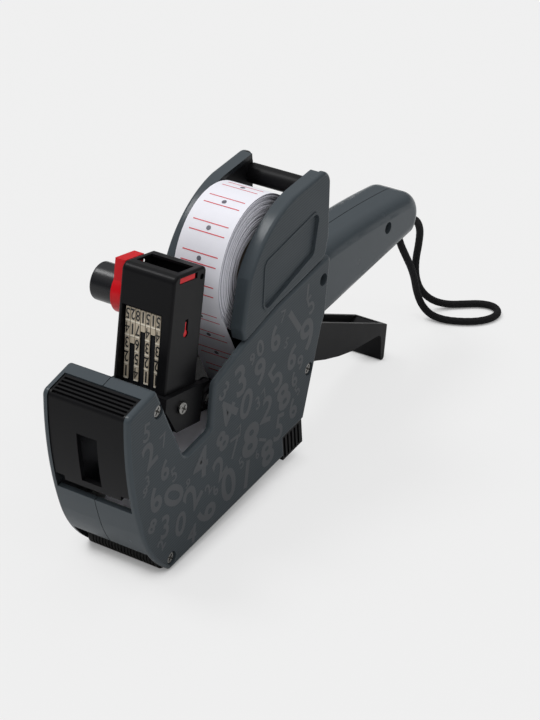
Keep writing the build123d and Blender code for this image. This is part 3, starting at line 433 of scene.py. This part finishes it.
def effect(tree, group, **values):
    """A shader group in a material, with its own values."""
    node = tree.nodes.new("ShaderNodeGroup")
    node.node_tree = group
    for label, value in values.items():
        socket = node.inputs[label]
        if isinstance(value, (int, float)):
            socket.default_value = value
        elif isinstance(value, bpy.types.NodeSocket):
            tree.links.new(value, socket)
        else:
            socket.default_value = (*value[:3], 1) if socket.type == "RGBA" else tuple(value)
    return node


def bumped(tree, shader, height, strength, distance):
    bump = tree.nodes.new("ShaderNodeBump")
    bump.inputs["Strength"].default_value = strength
    bump.inputs["Distance"].default_value = distance
    tree.links.new(height, bump.inputs["Height"])
    tree.links.new(bump.outputs["Normal"], shader.inputs["Normal"])


def plastic(name, colour, roughness, shine=0.3, grain=2600.0, relief=0.2, depth=0.02 * mm,
            drift=0.05):
    """Moulded plastic in one colour."""
    material, tree, shader, place = fresh(name)
    shader.inputs["Specular IOR Level"].default_value = shine
    skin = effect(tree, bpy.data.node_groups["moulded plastic"], Vector=place, Color=colour,
                  Roughness=roughness, Grain=grain, Drift=drift)
    tree.links.new(skin.outputs["Color"], shader.inputs["Base Color"])
    tree.links.new(skin.outputs["Roughness"], shader.inputs["Roughness"])
    bumped(tree, shader, skin.outputs["Height"], relief, depth)
    return material


def rubber(name, colour, roughness=0.7):
    """Rubber and felt: duller than plastic, with a coarser grain."""
    return plastic(name, colour, roughness, shine=0.2, grain=1400.0, relief=0.5,
                   depth=0.05 * mm, drift=0.12)


def side_plastic(name, border, flat, flat_from, pitch):
    """Casing plastic: smooth, hatched on its flat outer faces, with painted shade on the faces
    that look into the casing.
    """
    material, tree, shader, place = fresh(name)
    shader.inputs["Specular IOR Level"].default_value = 0.17
    apart = tree.nodes.new("ShaderNodeSeparateXYZ")
    tree.links.new(place, apart.inputs[0])
    aside = math(tree, "SUBTRACT", apart.outputs["Y"], MID_Y)
    out = math(tree, "ABSOLUTE", aside)
    facing = tree.nodes.new("ShaderNodeSeparateXYZ")
    tree.links.new(tree.nodes["Texture Coordinate"].outputs["Normal"], facing.inputs[0])
    level = ranged(tree, math(tree, "ABSOLUTE", facing.outputs["Y"]), 0.97, 0.995)
    field = math(tree, "MULTIPLY", level,
                 ranged(tree, out, flat_from - 0.02 * mm, flat_from + 0.03 * mm))
    lines = effect(tree, bpy.data.node_groups["fine hatch"], Vector=place, Pitch=pitch,
                   Slant=HATCH_ACROSS)
    smooth = effect(tree, bpy.data.node_groups["moulded plastic"], Vector=place, Color=border,
                    Roughness=0.26, Drift=0.02)
    rough = effect(tree, bpy.data.node_groups["moulded plastic"], Vector=place, Color=flat,
                   Roughness=0.5, Drift=0.04)
    lined = mixed(tree, math(tree, "MULTIPLY", lines.outputs["Line"], 0.45),
                  rough.outputs["Color"], tuple(1.3 * c for c in border))
    # painted shade: faces that look into the casing are mixed towards the dark inside colour
    outward = math(tree, "MULTIPLY", math(tree, "SIGN", aside), facing.outputs["Y"])
    painted_shade_inward = ranged(tree, outward, -0.7, -0.4, 1.0, 0.0)
    outer = mixed(tree, field, smooth.outputs["Color"], lined)
    tree.links.new(mixed(tree, painted_shade_inward, outer, PAINTED_SHADE_INSIDE), shader.inputs["Base Color"])
    gloss = tree.nodes.new("ShaderNodeMix")
    tree.links.new(field, gloss.inputs["Factor"])
    tree.links.new(smooth.outputs["Roughness"], gloss.inputs["A"])
    tree.links.new(rough.outputs["Roughness"], gloss.inputs["B"])
    tree.links.new(gloss.outputs["Result"], shader.inputs["Roughness"])
    relief = math(tree, "MULTIPLY", math(tree, "MULTIPLY", lines.outputs["Line"], field), 0.8)
    grain = math(tree, "MULTIPLY", smooth.outputs["Height"], 0.4)
    bumped(tree, shader, math(tree, "ADD", relief, grain), 0.35, 0.02 * mm)
    return material


def metal(name, colour, roughness):
    """Bright metal with fine turning or drawing marks."""
    material, tree, shader, place = fresh(name)
    marks = noise(tree, stretched(tree, place, 0.1), 900.0, 4.0, 0.6)
    shader.inputs["Metallic"].default_value = 1.0
    shader.inputs["Base Color"].default_value = (*colour, 1)
    tree.links.new(ranged(tree, marks, 0.3, 0.7, roughness * 0.8, roughness * 1.3),
                   shader.inputs["Roughness"])
    bumped(tree, shader, marks, 0.2, 0.01 * mm)
    return material


def paper(name, colour, mottle=0.03):
    """Paper or card, with fibres."""
    material, tree, shader, place = fresh(name)
    sheet = effect(tree, bpy.data.node_groups["paper fibre"], Vector=place, Color=colour,
                   Mottle=mottle)
    tree.links.new(sheet.outputs["Color"], shader.inputs["Base Color"])
    shader.inputs["Roughness"].default_value = 0.62
    bumped(tree, shader, sheet.outputs["Height"], 0.25, 0.01 * mm)
    return material


def printed(name, colour):
    """Ink on paper or plastic: nearly flat, slightly uneven."""
    material, tree, shader, place = fresh(name)
    uneven = noise(tree, place, 900.0, 3.0, 0.65)
    light = tuple(min(1.0, c * 1.18 + 0.01) for c in colour)
    tree.links.new(mixed(tree, ranged(tree, uneven, 0.35, 0.75), (*colour, 1), (*light, 1)),
                   shader.inputs["Base Color"])
    shader.inputs["Roughness"].default_value = 0.55
    return material


def braid(name, colour):
    """Twisted yarn of a braided cord: lighter on the crowns, with stray fibres."""
    material, tree, shader, place = fresh(name)
    yarn = noise(tree, place, 2400.0, 4.0, 0.7)
    tree.links.new(mixed(tree, ranged(tree, yarn, 0.4, 0.8), (*colour, 1),
                         (*(c * 3.2 for c in colour), 1)), shader.inputs["Base Color"])
    shader.inputs["Roughness"].default_value = 0.8
    shader.inputs["Specular IOR Level"].default_value = 0.15
    bumped(tree, shader, yarn, 0.6, 0.08 * mm)
    return material


def wear(material, *things):
    """Puts one finish on CAD nodes or new pieces."""
    for thing in things:
        thing = nodes[thing] if isinstance(thing, str) else thing
        if thing.data.materials:
            for index in range(len(thing.data.materials)):
                thing.data.materials[index] = material
        else:
            thing.data.materials.append(material)


# ---------------------------------------------------------------- operators
class LABELLER_OT_finishes(bpy.types.Operator):
    """Gives every CAD part its finish"""

    bl_idname = "labeller.finishes"
    bl_label = "Finish the CAD parts"

    def execute(self, context):
        look = context.scene.labeller_finish
        sizes = context.scene.labeller_sizes
        make_moulded()
        make_hatch()
        make_fibre()
        black = plastic("black plastic", look.black, 0.45, 0.12, depth=0.03 * mm)
        satin = plastic("satin black", look.black, 0.34, 0.10)
        knob = plastic("knob plastic", (0.0075, 0.008, 0.010), 0.26, 0.3)
        slate = side_plastic("casing plastic", look.slate, look.plate, BODY_HALF - 0.05 * mm,
                             sizes.hatch_pitch)
        cover = side_plastic("cover plastic", look.slate, look.plate, BODY_HALF - 1.1 * mm,
                             sizes.hatch_pitch)
        wear(slate, "left_shell", "right_shell")
        wear(cover, "left_cover_cap", "right_cover_cap")
        wear(satin, "front_cover", "bottom_cover", "head_housing")
        wear(black, "label_cover_frame", "trigger_lever", "head_carrier", "label_guide", "platen",
             "ink_arm", "feed_pawl", "left_roll_holder", "right_roll_holder", "ink_roller_core",
             "type_anvil")
        wear(knob, "selector_knob")
        red = plastic("selector red", look.red, 0.30, 0.2, drift=0.03)
        wear(red, "selector_slider", "wheel_detent")
        steel = metal("drawn steel", (0.55, 0.55, 0.55), 0.28)
        wear(steel, "pivot_sleeve", "roller_sleeve", "feed_axle", "ink_arm_pin", "strap_pin",
             "peel_plate", "return_spring", "ink_arm_spring", "carrier_rivets")
        bright = metal("plated screws", (0.25, 0.245, 0.235), 0.24)
        wear(bright, "casing_screws", "head_screws")
        white = paper("label paper", look.paper)
        wear(white, "label_strip", "label_roll")
        wear(paper("backing paper", (0.70, 0.66, 0.55), 0.08), "backing_strip")
        wear(paper("core card", (0.17, 0.14, 0.11), 0.15), "roll_core")
        wear(rubber("roller rubber", (0.014, 0.014, 0.014)), "applicator_roller", "platen_pad")
        wear(rubber("ink felt", (0.008, 0.008, 0.014), 0.9), "ink_roller")
        ivory = plastic("ivory plastic", look.ivory, 0.5)
        wear(ivory, "feed_wheel", *(f"band_wheel_{i}" for i in range(1, 8)))
        wear(rubber("band rubber", (0.012, 0.013, 0.016)),
             *(f"digit_band_{i}" for i in range(1, 8)))
        for thing in nodes.values():
            only(thing)
            bpy.ops.object.shade_smooth_by_angle(angle=radians(28))
        return {"FINISHED"}


# the web is wound in bunches, which have slipped apart at the top of the roll: after how many
# turns from the core, and how far in mm
BUNCHES = ((4, 0.30), (8, 0.45), (12, 0.35), (17, 0.50), (21, 0.40), (25, 0.55))
SLACK_AT = radians(112)
SLACK_NARROWING = 1.6
ROLL_END = radians(-20.3)       # where the web leaves the roll
END_TURN = 0.12                 # the last part of a turn, which lifts off
END_LIFT = 0.5 * mm


def web_radius(turn, turns):
    """Outer radius of the wound web after so many turns from the core."""
    angle = ROLL_END + 2 * pi * (turns - turn)
    even = ROLL_INNER + (ROLL_OUTER - ROLL_INNER) * turn / turns
    lobe = max(0.0, cos(angle - SLACK_AT)) ** SLACK_NARROWING
    apart = sum(gap * min(1.0, max(0.0, turn - after)) for after, gap in BUNCHES)
    leave = max(0.0, 1 - (turns - turn) / END_TURN)
    return even + apart * lobe * mm + END_LIFT * leave * leave


def free_web():
    """The printed face of the web from the roll down to the guide: start, end, outward."""
    half = STRIP_THICKNESS / 2
    roll_run = ROLL_OUTER + STRIP_CLEARANCE + half
    guide_run = GUIDE_RADIUS + GUIDE_GAP + half
    apart = GUIDE_CENTRE - ROLL_CENTRE
    lean = atan2(apart.z, apart.x) - asin((roll_run + guide_run) / apart.length)
    out = Vector((-sin(lean), 0, cos(lean)))
    return (ROLL_CENTRE + out * (roll_run + half), GUIDE_CENTRE - out * (guide_run - half), out)


class LABELLER_OT_label_roll(bpy.types.Operator):
    """Winds the label roll and prints its lines and dots"""

    bl_idname = "labeller.label_roll"
    bl_label = "Wind the label roll"

    steps = 112                 # to a turn
    web = 0.30 * mm
    edge_margin = 0.25 * mm
    turn_shift = 0.16           # how far a turn stands out or in at the edge, in mm
    bunch_shift = (-0.35, 0.1)  # the same for a bunch
    # painted shade: this share of the turns gets a grey near edge, standing for the shade between
    # the windings
    painted_shade_share = 0.45         # of the turns
    line_width = 0.42 * mm
    ink_lift = 0.025 * mm

    def wind(self, turns):
        """The wound web as one closed strip; its edges step in and out from turn to turn."""
        chance = Random(5)
        shift = [chance.uniform(-self.turn_shift, self.turn_shift) for _ in range(turns + 2)]
        for after, _ in BUNCHES:
            step = chance.uniform(*self.bunch_shift)
            shift = [v + (step if i > after else 0) for i, v in enumerate(shift)]
        shift = [v - shift[turns] for v in shift]
        shaded = [chance.random() < self.painted_shade_share for _ in range(turns + 1)]
        points = []
        faces = []
        tones = []
        count = turns * self.steps
        for i in range(count + 1):
            turn = i / self.steps
            angle = ROLL_END + 2 * pi * (turns - turn)
            radius = web_radius(turn, turns)
            whole = int(turn)
            # the edge moves over to the next turn's place in the first quarter of a turn
            aside = shift[whole] + (shift[whole + 1] - shift[whole]) * min(1, (turn % 1) * 4)
            near = min(LABEL_HALF, LABEL_HALF - self.edge_margin + aside * mm)
            for r, y in ((radius, near), (radius, -LABEL_HALF),
                         (radius - self.web, -LABEL_HALF), (radius - self.web, near)):
                points.append((ROLL_CENTRE.x + r * cos(angle), y, ROLL_CENTRE.z + r * sin(angle)))
        for i in range(count):
            a, b = 4 * i, 4 * i + 4
            for k in range(4):
                m = (k + 1) % 4
                faces.append((a + k, b + k, b + m, a + m))
                tones.append(int(k == 3 and shaded[i // self.steps]))
        faces.append((0, 1, 2, 3))
        last = 4 * count
        faces.append((last + 3, last + 2, last + 1, last))
        tones += [0, 0]
        roll = settle(from_points("wound_labels", points, faces), "wound_labels")
        roll.data.materials.append(bpy.data.materials["label paper"])
        # painted shade: the near edges of those turns get a grey paper, standing for the shade
        # between the windings
        roll.data.materials.append(paper("paper edge painted shade", (0.36, 0.36, 0.41)))
        for polygon, tone in zip(roll.data.polygons, tones):
            polygon.material_index = tone
        only(roll)
        bpy.ops.object.shade_smooth_by_angle(angle=radians(30))
        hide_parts("label_roll")
        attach(roll, "label_roll")

    def execute(self, context):
        look = context.scene.labeller_finish
        sizes = context.scene.labeller_sizes
        turns = sizes.roll_turns
        self.wind(turns)

        # printed lines and dots, round the outside and down the free web
        line = bar((self.line_width, 2 * sizes.line_half, INK_THICKNESS))
        deselect()
        bpy.ops.mesh.primitive_cylinder_add(vertices=24, radius=sizes.dot_radius,
                                            depth=INK_THICKNESS)
        dot = bpy.context.object
        across = Vector((0, 1, 0))

        def stamp(stock, origin, out, pieces):
            pieces.append(copy_at(stock, placed(origin + out * self.ink_lift,
                                                across.cross(out), across)))

        def label(at, lines, dots):
            for side in (-1, 1):
                stamp(line, *at(side * sizes.line_offset), lines)
            stamp(dot, *at(0), dots)

        lines = []
        dots = []
        clear_of_end = ROLL_END + 0.12
        first = ceil((clear_of_end - FIRST_DOT_ANGLE) * ROLL_OUTER / sizes.label_pitch)
        final = int((2 * pi + ROLL_END - FIRST_DOT_ANGLE) * ROLL_OUTER / sizes.label_pitch)
        for k in range(first, final + 1):

            def on_roll(along, k=k):
                angle = FIRST_DOT_ANGLE + (k * sizes.label_pitch + along) / ROLL_OUTER
                out = Vector((cos(angle), 0, sin(angle)))
                radius = web_radius(turns - (angle - ROLL_END) / (2 * pi), turns)
                return ROLL_CENTRE + out * radius, out

            label(on_roll, lines, dots)
        roll_lines = join(lines, "roll_lines")
        roll_dots = join(dots, "roll_dots")

        lines = []
        dots = []
        start, end, out = free_web()
        run = end - start
        wound = (FIRST_DOT_ANGLE - ROLL_END) * ROLL_OUTER
        place = ceil(wound / sizes.label_pitch) * sizes.label_pitch - wound + sizes.line_offset
        while place < run.length - sizes.line_offset:

            def on_web(along, place=place):
                return start + run.normalized() * (place + along), out

            label(on_web, lines, dots)
            place += sizes.label_pitch
        strip_lines = join(lines, "strip_lines")
        strip_dots = join(dots, "strip_dots")
        drop(line, dot)
        red = printed("label line ink", look.ruled)
        grey = printed("feed dot ink", look.dot)
        wear(red, roll_lines, strip_lines)
        wear(grey, roll_dots, strip_dots)
        for thing in (roll_lines, roll_dots, strip_lines, strip_dots):
            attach(thing, "label_roll" if thing in (roll_lines, roll_dots) else "casing")
        return {"FINISHED"}


# what stands on each band in the head's window, from the top; _ is a blank piece of type
BAND_ROWS = (
    ("5", "4", "3", "2", "1"),
    ("2", "1", "_"),
    ("8", "7", "6", "5", "4"),
    ("1", "_"),
    ("5", "4", "3", "2", "1"),
    ("1", "_"),
    ("5", "4", "3", "2", "1"),
)


class LABELLER_OT_type(bpy.types.Operator):
    """Sets the ivory type and its digits on the bands in the head's window"""

    bl_idname = "labeller.type"
    bl_label = "Set the type on the bands"

    def execute(self, context):
        look = context.scene.labeller_finish
        sizes = context.scene.labeller_sizes
        # the bands' flat run, from over the wheels on the spindle to over the anvil
        spindle = (-10.4 * mm, 14.3 * mm)
        anvil = (-10.4 * mm, 61.0 * mm)
        upper_r = 8.5 * mm
        lower_r = 5.0 * mm
        slope = asin((upper_r - lower_r) / (anvil[1] - spindle[1]))
        out = HEAD_U * cos(slope) + HEAD_W * sin(slope)
        down = HEAD_W * cos(slope) - HEAD_U * sin(slope)
        origin = HEAD_CORNER + HEAD_U * spindle[0] + HEAD_W * spindle[1] + out * upper_r
        tile_t = 0.5 * mm
        tile_w = 1.98 * mm
        tile_round = 0.06 * mm
        blank_h = 2.6 * mm
        edge_h = 0.62 * mm
        digit_h = 4.4 * mm
        top = 2.1 * mm
        first_y = -9.1 * mm
        pitch_y = 2.317 * mm
        tile = bar((tile_w, sizes.digit_pitch - 0.12 * mm, tile_t), tile_round)
        blank = bar((tile_w, blank_h, tile_t), tile_round)
        edge = bar((tile_w, edge_h, 0.16 * mm), 0.04 * mm)
        # a heavier 4 would close up
        faces = {d: glyph(d, digit_h, 0.66 if d != "1" else 0.9, 0.04 * mm, 0.012 * (d != "4"))
                 for d in "12345678"}
        tiles = []
        edges = []
        digits = []
        right = Vector((0, 1, 0))
        for column, row in enumerate(BAND_ROWS):
            y = first_y + column * pitch_y
            for index, mark in enumerate(row):
                s = top + (index + 0.5) * sizes.digit_pitch
                spot = origin + down * s + right * y
                if mark == "_":
                    # a blank is short and lies against the digit above it
                    spot -= down * 1.55 * mm
                    tiles.append(copy_at(blank, placed(spot + out * tile_t * 0.4, right, -down)))
                    continue
                tiles.append(copy_at(tile, placed(spot + out * tile_t / 2, right, -down)))
                bottom = spot + down * (sizes.digit_pitch / 2 - 0.36 * mm)
                edges.append(copy_at(edge, placed(bottom + out * tile_t, right, -down)))
                ink = spot - down * 0.25 * mm + out * (tile_t + 0.03 * mm)
                digits.append(copy_at(faces[mark], placed(ink, -right, down)))
        drop(tile, blank, edge, *faces.values())
        ivory = bpy.data.materials["ivory plastic"]
        for group, name, material in (
            (tiles, "type_tiles", ivory),
            (edges, "type_edges", plastic("type edge", (0.86, 0.80, 0.68), 0.4)),
            (digits, "type_digits", printed("type ink", (0.012, 0.012, 0.013))),
        ):
            whole = join(group, name)
            wear(material, whole)
            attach(whole, "lever")
        return {"FINISHED"}


# outline of the printed field of the side plates, x and z in mm
PRINTED_FIELD = (
    (5, 2.5), (83, 2.5), (91, 14), (95.5, 27), (98, 52), (96, 78), (83.5, 80), (78, 64), (71, 41),
    (49, 42), (43.5, 61.5), (24, 66), (2, 69.8), (-16, 70.8), (-34.5, 72), (-30.5, 50),
    (-11.5, 11.5), (3.5, 11.5),
)


def inside(point, outline):
    """Whether a point lies in an outline, by counting crossings."""
    x, z = point
    found = False
    for (x0, z0), (x1, z1) in zip(outline, outline[1:] + outline[:1]):
        if (z0 > z) != (z1 > z) and x < x0 + (z - z0) * (x1 - x0) / (z1 - z0):
            found = not found
    return found


class LABELLER_OT_plate_print(bpy.types.Operator):
    """Scatters tone-on-tone digits over both side plates"""

    bl_idname = "labeller.plate_print"
    bl_label = "Print the side plates"

    tries = 2600
    smallest = 4.2              # height of a digit in mm
    spread = 13.0               # how much larger the first ones may be
    field_x = (-36, 98)
    field_z = (2, 80)

    def execute(self, context):
        look = context.scene.labeller_finish
        ink = plastic("plate print", look.plate_digit, 0.5, drift=0.05)
        # x, z and the radius that is kept free, in mm
        screws = ((81.6, 73.8, 5), (-32.7, 66.2, 5), (-18.9, 30.6, 5), (82.4, 4.7, 5))
        for side, name, seed in ((1, "left_plate_print", 11), (-1, "right_plate_print", 23)):
            chance = Random(seed)
            shapes = {d: glyph(d, 1.0 * mm, chance.uniform(0.9, 1.15),
                               weight=chance.uniform(0, 0.035))
                      for d in "0123456789"}
            taken = list(screws)
            marks = []
            for attempt in range(self.tries):
                big = 1 - attempt / self.tries
                size = self.smallest + self.spread * big * chance.uniform(0.55, 1.0)
                x = chance.uniform(*self.field_x)
                z = chance.uniform(*self.field_z)
                turn = chance.gauss(0.1, 0.42)
                reach = size * 0.50
                corners = [(x + reach * cos(a), z + reach * sin(a))
                           for a in (k * pi / 4 for k in range(8))]
                if not all(inside(c, PRINTED_FIELD) for c in corners):
                    continue
                if any(hypot(x - a, z - b) < reach + r for a, b, r in taken):
                    continue
                taken.append((x, z, reach * 0.86))
                across = Vector((-side * cos(turn), 0, sin(turn)))
                up = Vector((side * sin(turn), 0, cos(turn)))
                spot = Vector((x * mm, side * (BODY_HALF + 0.005 * mm), z * mm))
                place = placed(spot, across, up)
                mark = copy_at(shapes[chance.choice("0123456789")],
                               place @ Matrix.Diagonal((size, size, 1, 1)))
                marks.append(mark)
            drop(*shapes.values())
            whole = join(marks, name)
            wear(ink, whole)
            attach(whole, "casing")
        return {"FINISHED"}


# control points of the wrist strap's centre line in mm, in the standing frame: out of the
# grip's end, round its loop on the floor and back in through the grip's underside
STRAP_ROUTE = (
    (-108.5, 11.7, 63.5),
    (-115.4, 12.6, 60.2),
    (-121.6, 12.0, 52.4),
    (-125.6, 9.4, 42.4),
    (-128.6, 6.4, 31.6),
    (-131.8, 5.0, 21.0),
    (-136.6, 5.4, 11.6),
    (-142.0, 8.6, 4.9),
    (-147.0, 14.0, 2.0),
    (-152.4, 20.6, 1.75),
    (-157.0, 26.8, 1.75),
    (-158.0, 33.4, 1.75),
    (-153.6, 38.0, 1.75),
    (-147.0, 37.6, 1.75),
    (-141.0, 33.4, 1.75),
    (-136.6, 26.8, 1.75),
    (-133.8, 19.4, 1.75),
    (-133.4, 12.4, 2.6),
    (-132.4, 8.0, 7.4),
    (-129.6, 6.9, 15.4),
    (-124.9, 8.3, 24.0),
    (-119.3, 9.4, 32.6),
    (-113.8, 9.4, 41.0),
    (-109.4, 8.9, 48.6),
    (-107.0, 8.3, 55.6),
    (-106.4, 7.9, 62.0),
)


class LABELLER_OT_wrist_strap(bpy.types.Operator):
    """Braids the wrist strap along its route"""

    bl_idname = "labeller.wrist_strap"
    bl_label = "Braid the wrist strap"

    sides = 40                  # of the cord's cross-section
    yarns = 8
    lay = 3.2 * mm              # along the cord from crown to crown
    valley = 0.86               # of the radius

    def execute(self, context):
        look = context.scene.labeller_finish
        radius = context.scene.labeller_sizes.cord_diameter / 2
        line = bpy.data.curves.new("strap_line", "CURVE")
        line.dimensions = "3D"
        line.resolution_u = 26
        spline = line.splines.new("NURBS")
        spline.points.add(len(STRAP_ROUTE) - 1)
        for point, place in zip(spline.points, STRAP_ROUTE):
            point.co = (*(c * mm for c in place), 1)
        spline.order_u = 3
        spline.use_endpoint_u = True
        guide = bpy.data.objects.new("strap_line", line)
        bpy.context.collection.objects.link(guide)
        bpy.context.view_layer.update()
        traced = bpy.data.meshes.new_from_object(guide)
        path = [v.co.copy() for v in traced.vertices]
        drop(guide)
        points = []
        faces = []
        normal = Vector((0, 1, 0))
        gone = 0.0
        for i, here in enumerate(path):
            ahead = path[min(i + 1, len(path) - 1)] - path[max(i - 1, 0)]
            ahead.normalize()
            normal = (normal - ahead * normal.dot(ahead)).normalized()
            across = ahead.cross(normal)
            if i:
                gone += (here - path[i - 1]).length
            twist = pi * gone / self.lay
            for k in range(self.sides):
                a = 2 * pi * k / self.sides
                one = abs(sin(self.yarns / 2 * a + twist))
                other = abs(sin(self.yarns / 2 * a - twist))
                crown = max(one, other)
                r = radius * (self.valley + (1 - self.valley) * sqrt(crown))
                points.append(here + (normal * cos(a) + across * sin(a)) * r)
        for i in range(len(path) - 1):
            for k in range(self.sides):
                m = (k + 1) % self.sides
                a, b = i * self.sides, (i + 1) * self.sides
                faces.append((a + k, a + m, b + m, b + k))
        faces.append(tuple(range(self.sides - 1, -1, -1)))
        last = (len(path) - 1) * self.sides
        faces.append(tuple(last + k for k in range(self.sides)))
        cord = from_points("braided_strap", points, faces)
        only(cord)
        bpy.ops.object.mode_set(mode="EDIT")
        bpy.ops.mesh.select_all(action="SELECT")
        bpy.ops.mesh.normals_make_consistent(inside=False)
        bpy.ops.object.mode_set(mode="OBJECT")
        bpy.ops.object.shade_smooth()
        wear(braid("braided cord", look.cord), cord)
        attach(cord, "casing")
        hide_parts("wrist_strap")
        return {"FINISHED"}


class LABELLER_OT_studio(bpy.types.Operator):
    """Sets up the floor, the light and the camera"""

    bl_idname = "labeller.studio"
    bl_label = "Set up the studio"

    eye = Vector((616.10, 408.42, 479.77)) * mm
    yaw = radians(32.861)
    dip = radians(30.716)
    lens = 104.62
    white = (0.863, 0.863, 0.863, 1)
    evenness = 0.84             # share of plain white in the floor that the camera sees
    shade_reach = 11 * mm       # the floor is shaded where something stands this close above
    horizon = 0.20
    ceiling = 0.90
    lamps = (("key", (0.22, -0.72, 1.4), 1.34, 20.0), ("edge", (0.06, 0.60, 0.80), 0.16, 8.0))

    def execute(self, context):
        scene = context.scene
        scene.view_settings.view_transform = "Standard"
        ahead = Vector((-cos(self.yaw) * cos(self.dip), -sin(self.yaw) * cos(self.dip),
                        -sin(self.dip)))
        camera = bpy.data.objects.new("camera", bpy.data.cameras.new("camera"))
        context.collection.objects.link(camera)
        camera.location = self.eye
        camera.rotation_euler = ahead.to_track_quat("-Z", "Y").to_euler()
        camera.data.lens = self.lens
        camera.data.sensor_width = 36.0
        camera.data.clip_end = 50.0
        camera.data.dof.use_dof = False
        scene.camera = camera

        deselect()
        bpy.ops.mesh.primitive_grid_add(x_subdivisions=4, y_subdivisions=4, size=8)
        floor = bpy.context.object
        floor.name = "floor"
        material, tree, shader, place = fresh("floor paper")
        shader.inputs["Base Color"].default_value = (0.80, 0.80, 0.80, 1)
        shader.inputs["Roughness"].default_value = 0.9
        shader.inputs["Specular IOR Level"].default_value = 0.0
        glow = tree.nodes.new("ShaderNodeEmission")
        glow.inputs["Color"].default_value = self.white
        even = tree.nodes.new("ShaderNodeMixShader")
        looks = tree.nodes.new("ShaderNodeLightPath")
        nearby = tree.nodes.new("ShaderNodeAmbientOcclusion")
        nearby.samples = 8
        nearby.inputs["Distance"].default_value = self.shade_reach
        share = ranged(tree, nearby.outputs["AO"], 0.40, 0.85, 0.2, self.evenness)
        tree.links.new(math(tree, "MULTIPLY", looks.outputs["Is Camera Ray"], share),
                       even.inputs["Fac"])
        tree.links.new(shader.outputs[0], even.inputs[1])
        tree.links.new(glow.outputs[0], even.inputs[2])
        tree.links.new(even.outputs[0], tree.nodes["Material Output"].inputs["Surface"])
        wear(material, floor)

        world = bpy.data.worlds.new("studio")
        world.use_nodes = True
        scene.world = world
        tree = world.node_tree
        sky = tree.nodes["Background"]
        compass = tree.nodes.new("ShaderNodeTexCoord")
        rise = tree.nodes.new("ShaderNodeSeparateXYZ")
        tree.links.new(compass.outputs["Generated"], rise.inputs[0])
        # a bright ceiling over a dimmer horizon
        tree.links.new(ranged(tree, rise.outputs["Z"], 0.25, 0.75, self.horizon, self.ceiling),
                       sky.inputs["Strength"])
        sky.inputs["Color"].default_value = (1, 1, 1, 1)
        backdrop = tree.nodes.new("ShaderNodeBackground")
        backdrop.inputs["Color"].default_value = self.white
        rays = tree.nodes.new("ShaderNodeLightPath")
        blend = tree.nodes.new("ShaderNodeMixShader")
        tree.links.new(rays.outputs["Is Camera Ray"], blend.inputs["Fac"])
        tree.links.new(sky.outputs[0], blend.inputs[1])
        tree.links.new(backdrop.outputs[0], blend.inputs[2])
        tree.links.new(blend.outputs[0], tree.nodes["World Output"].inputs["Surface"])

        for name, direction, strength, spread in self.lamps:
            sun = bpy.data.objects.new(name, bpy.data.lights.new(name, "SUN"))
            context.collection.objects.link(sun)
            sun.rotation_euler = (-Vector(direction)).to_track_quat("-Z", "Y").to_euler()
            sun.data.energy = strength
            sun.data.angle = radians(spread)
        return {"FINISHED"}


class LABELLER_PT_panel(bpy.types.Panel):
    """Lists the steps and the settings of the labelling machine's looks"""

    bl_idname = "LABELLER_PT_panel"
    bl_label = "Labelling machine"
    bl_space_type = "VIEW_3D"
    bl_region_type = "UI"
    bl_category = "Labeller"

    def draw(self, context):
        for step in STEPS:
            self.layout.operator(step.bl_idname)
        for settings in (context.scene.labeller_finish, context.scene.labeller_sizes):
            box = self.layout.box()
            for name in settings.bl_rna.properties.keys():
                if name not in ("rna_type", "name"):
                    box.prop(settings, name)


STEPS = (
    LABELLER_OT_studio,
    LABELLER_OT_finishes,
    LABELLER_OT_wrist_strap,
    LABELLER_OT_label_roll,
    LABELLER_OT_type,
    LABELLER_OT_plate_print,
)
CLASSES = (LabellerFinish, LabellerSizes, *STEPS, LABELLER_PT_panel)


def register():
    for each in CLASSES:
        bpy.utils.register_class(each)
    bpy.types.Scene.labeller_finish = PointerProperty(type=LabellerFinish)
    bpy.types.Scene.labeller_sizes = PointerProperty(type=LabellerSizes)


def unregister():
    del bpy.types.Scene.labeller_sizes
    del bpy.types.Scene.labeller_finish
    for each in reversed(CLASSES):
        bpy.utils.unregister_class(each)


def main():
    register()
    bpy.ops.labeller.studio()
    bpy.ops.labeller.finishes()
    bpy.ops.labeller.wrist_strap()
    bpy.ops.labeller.label_roll()
    bpy.ops.labeller.type()
    bpy.ops.labeller.plate_print()


if __name__ == "__main__":
    main()
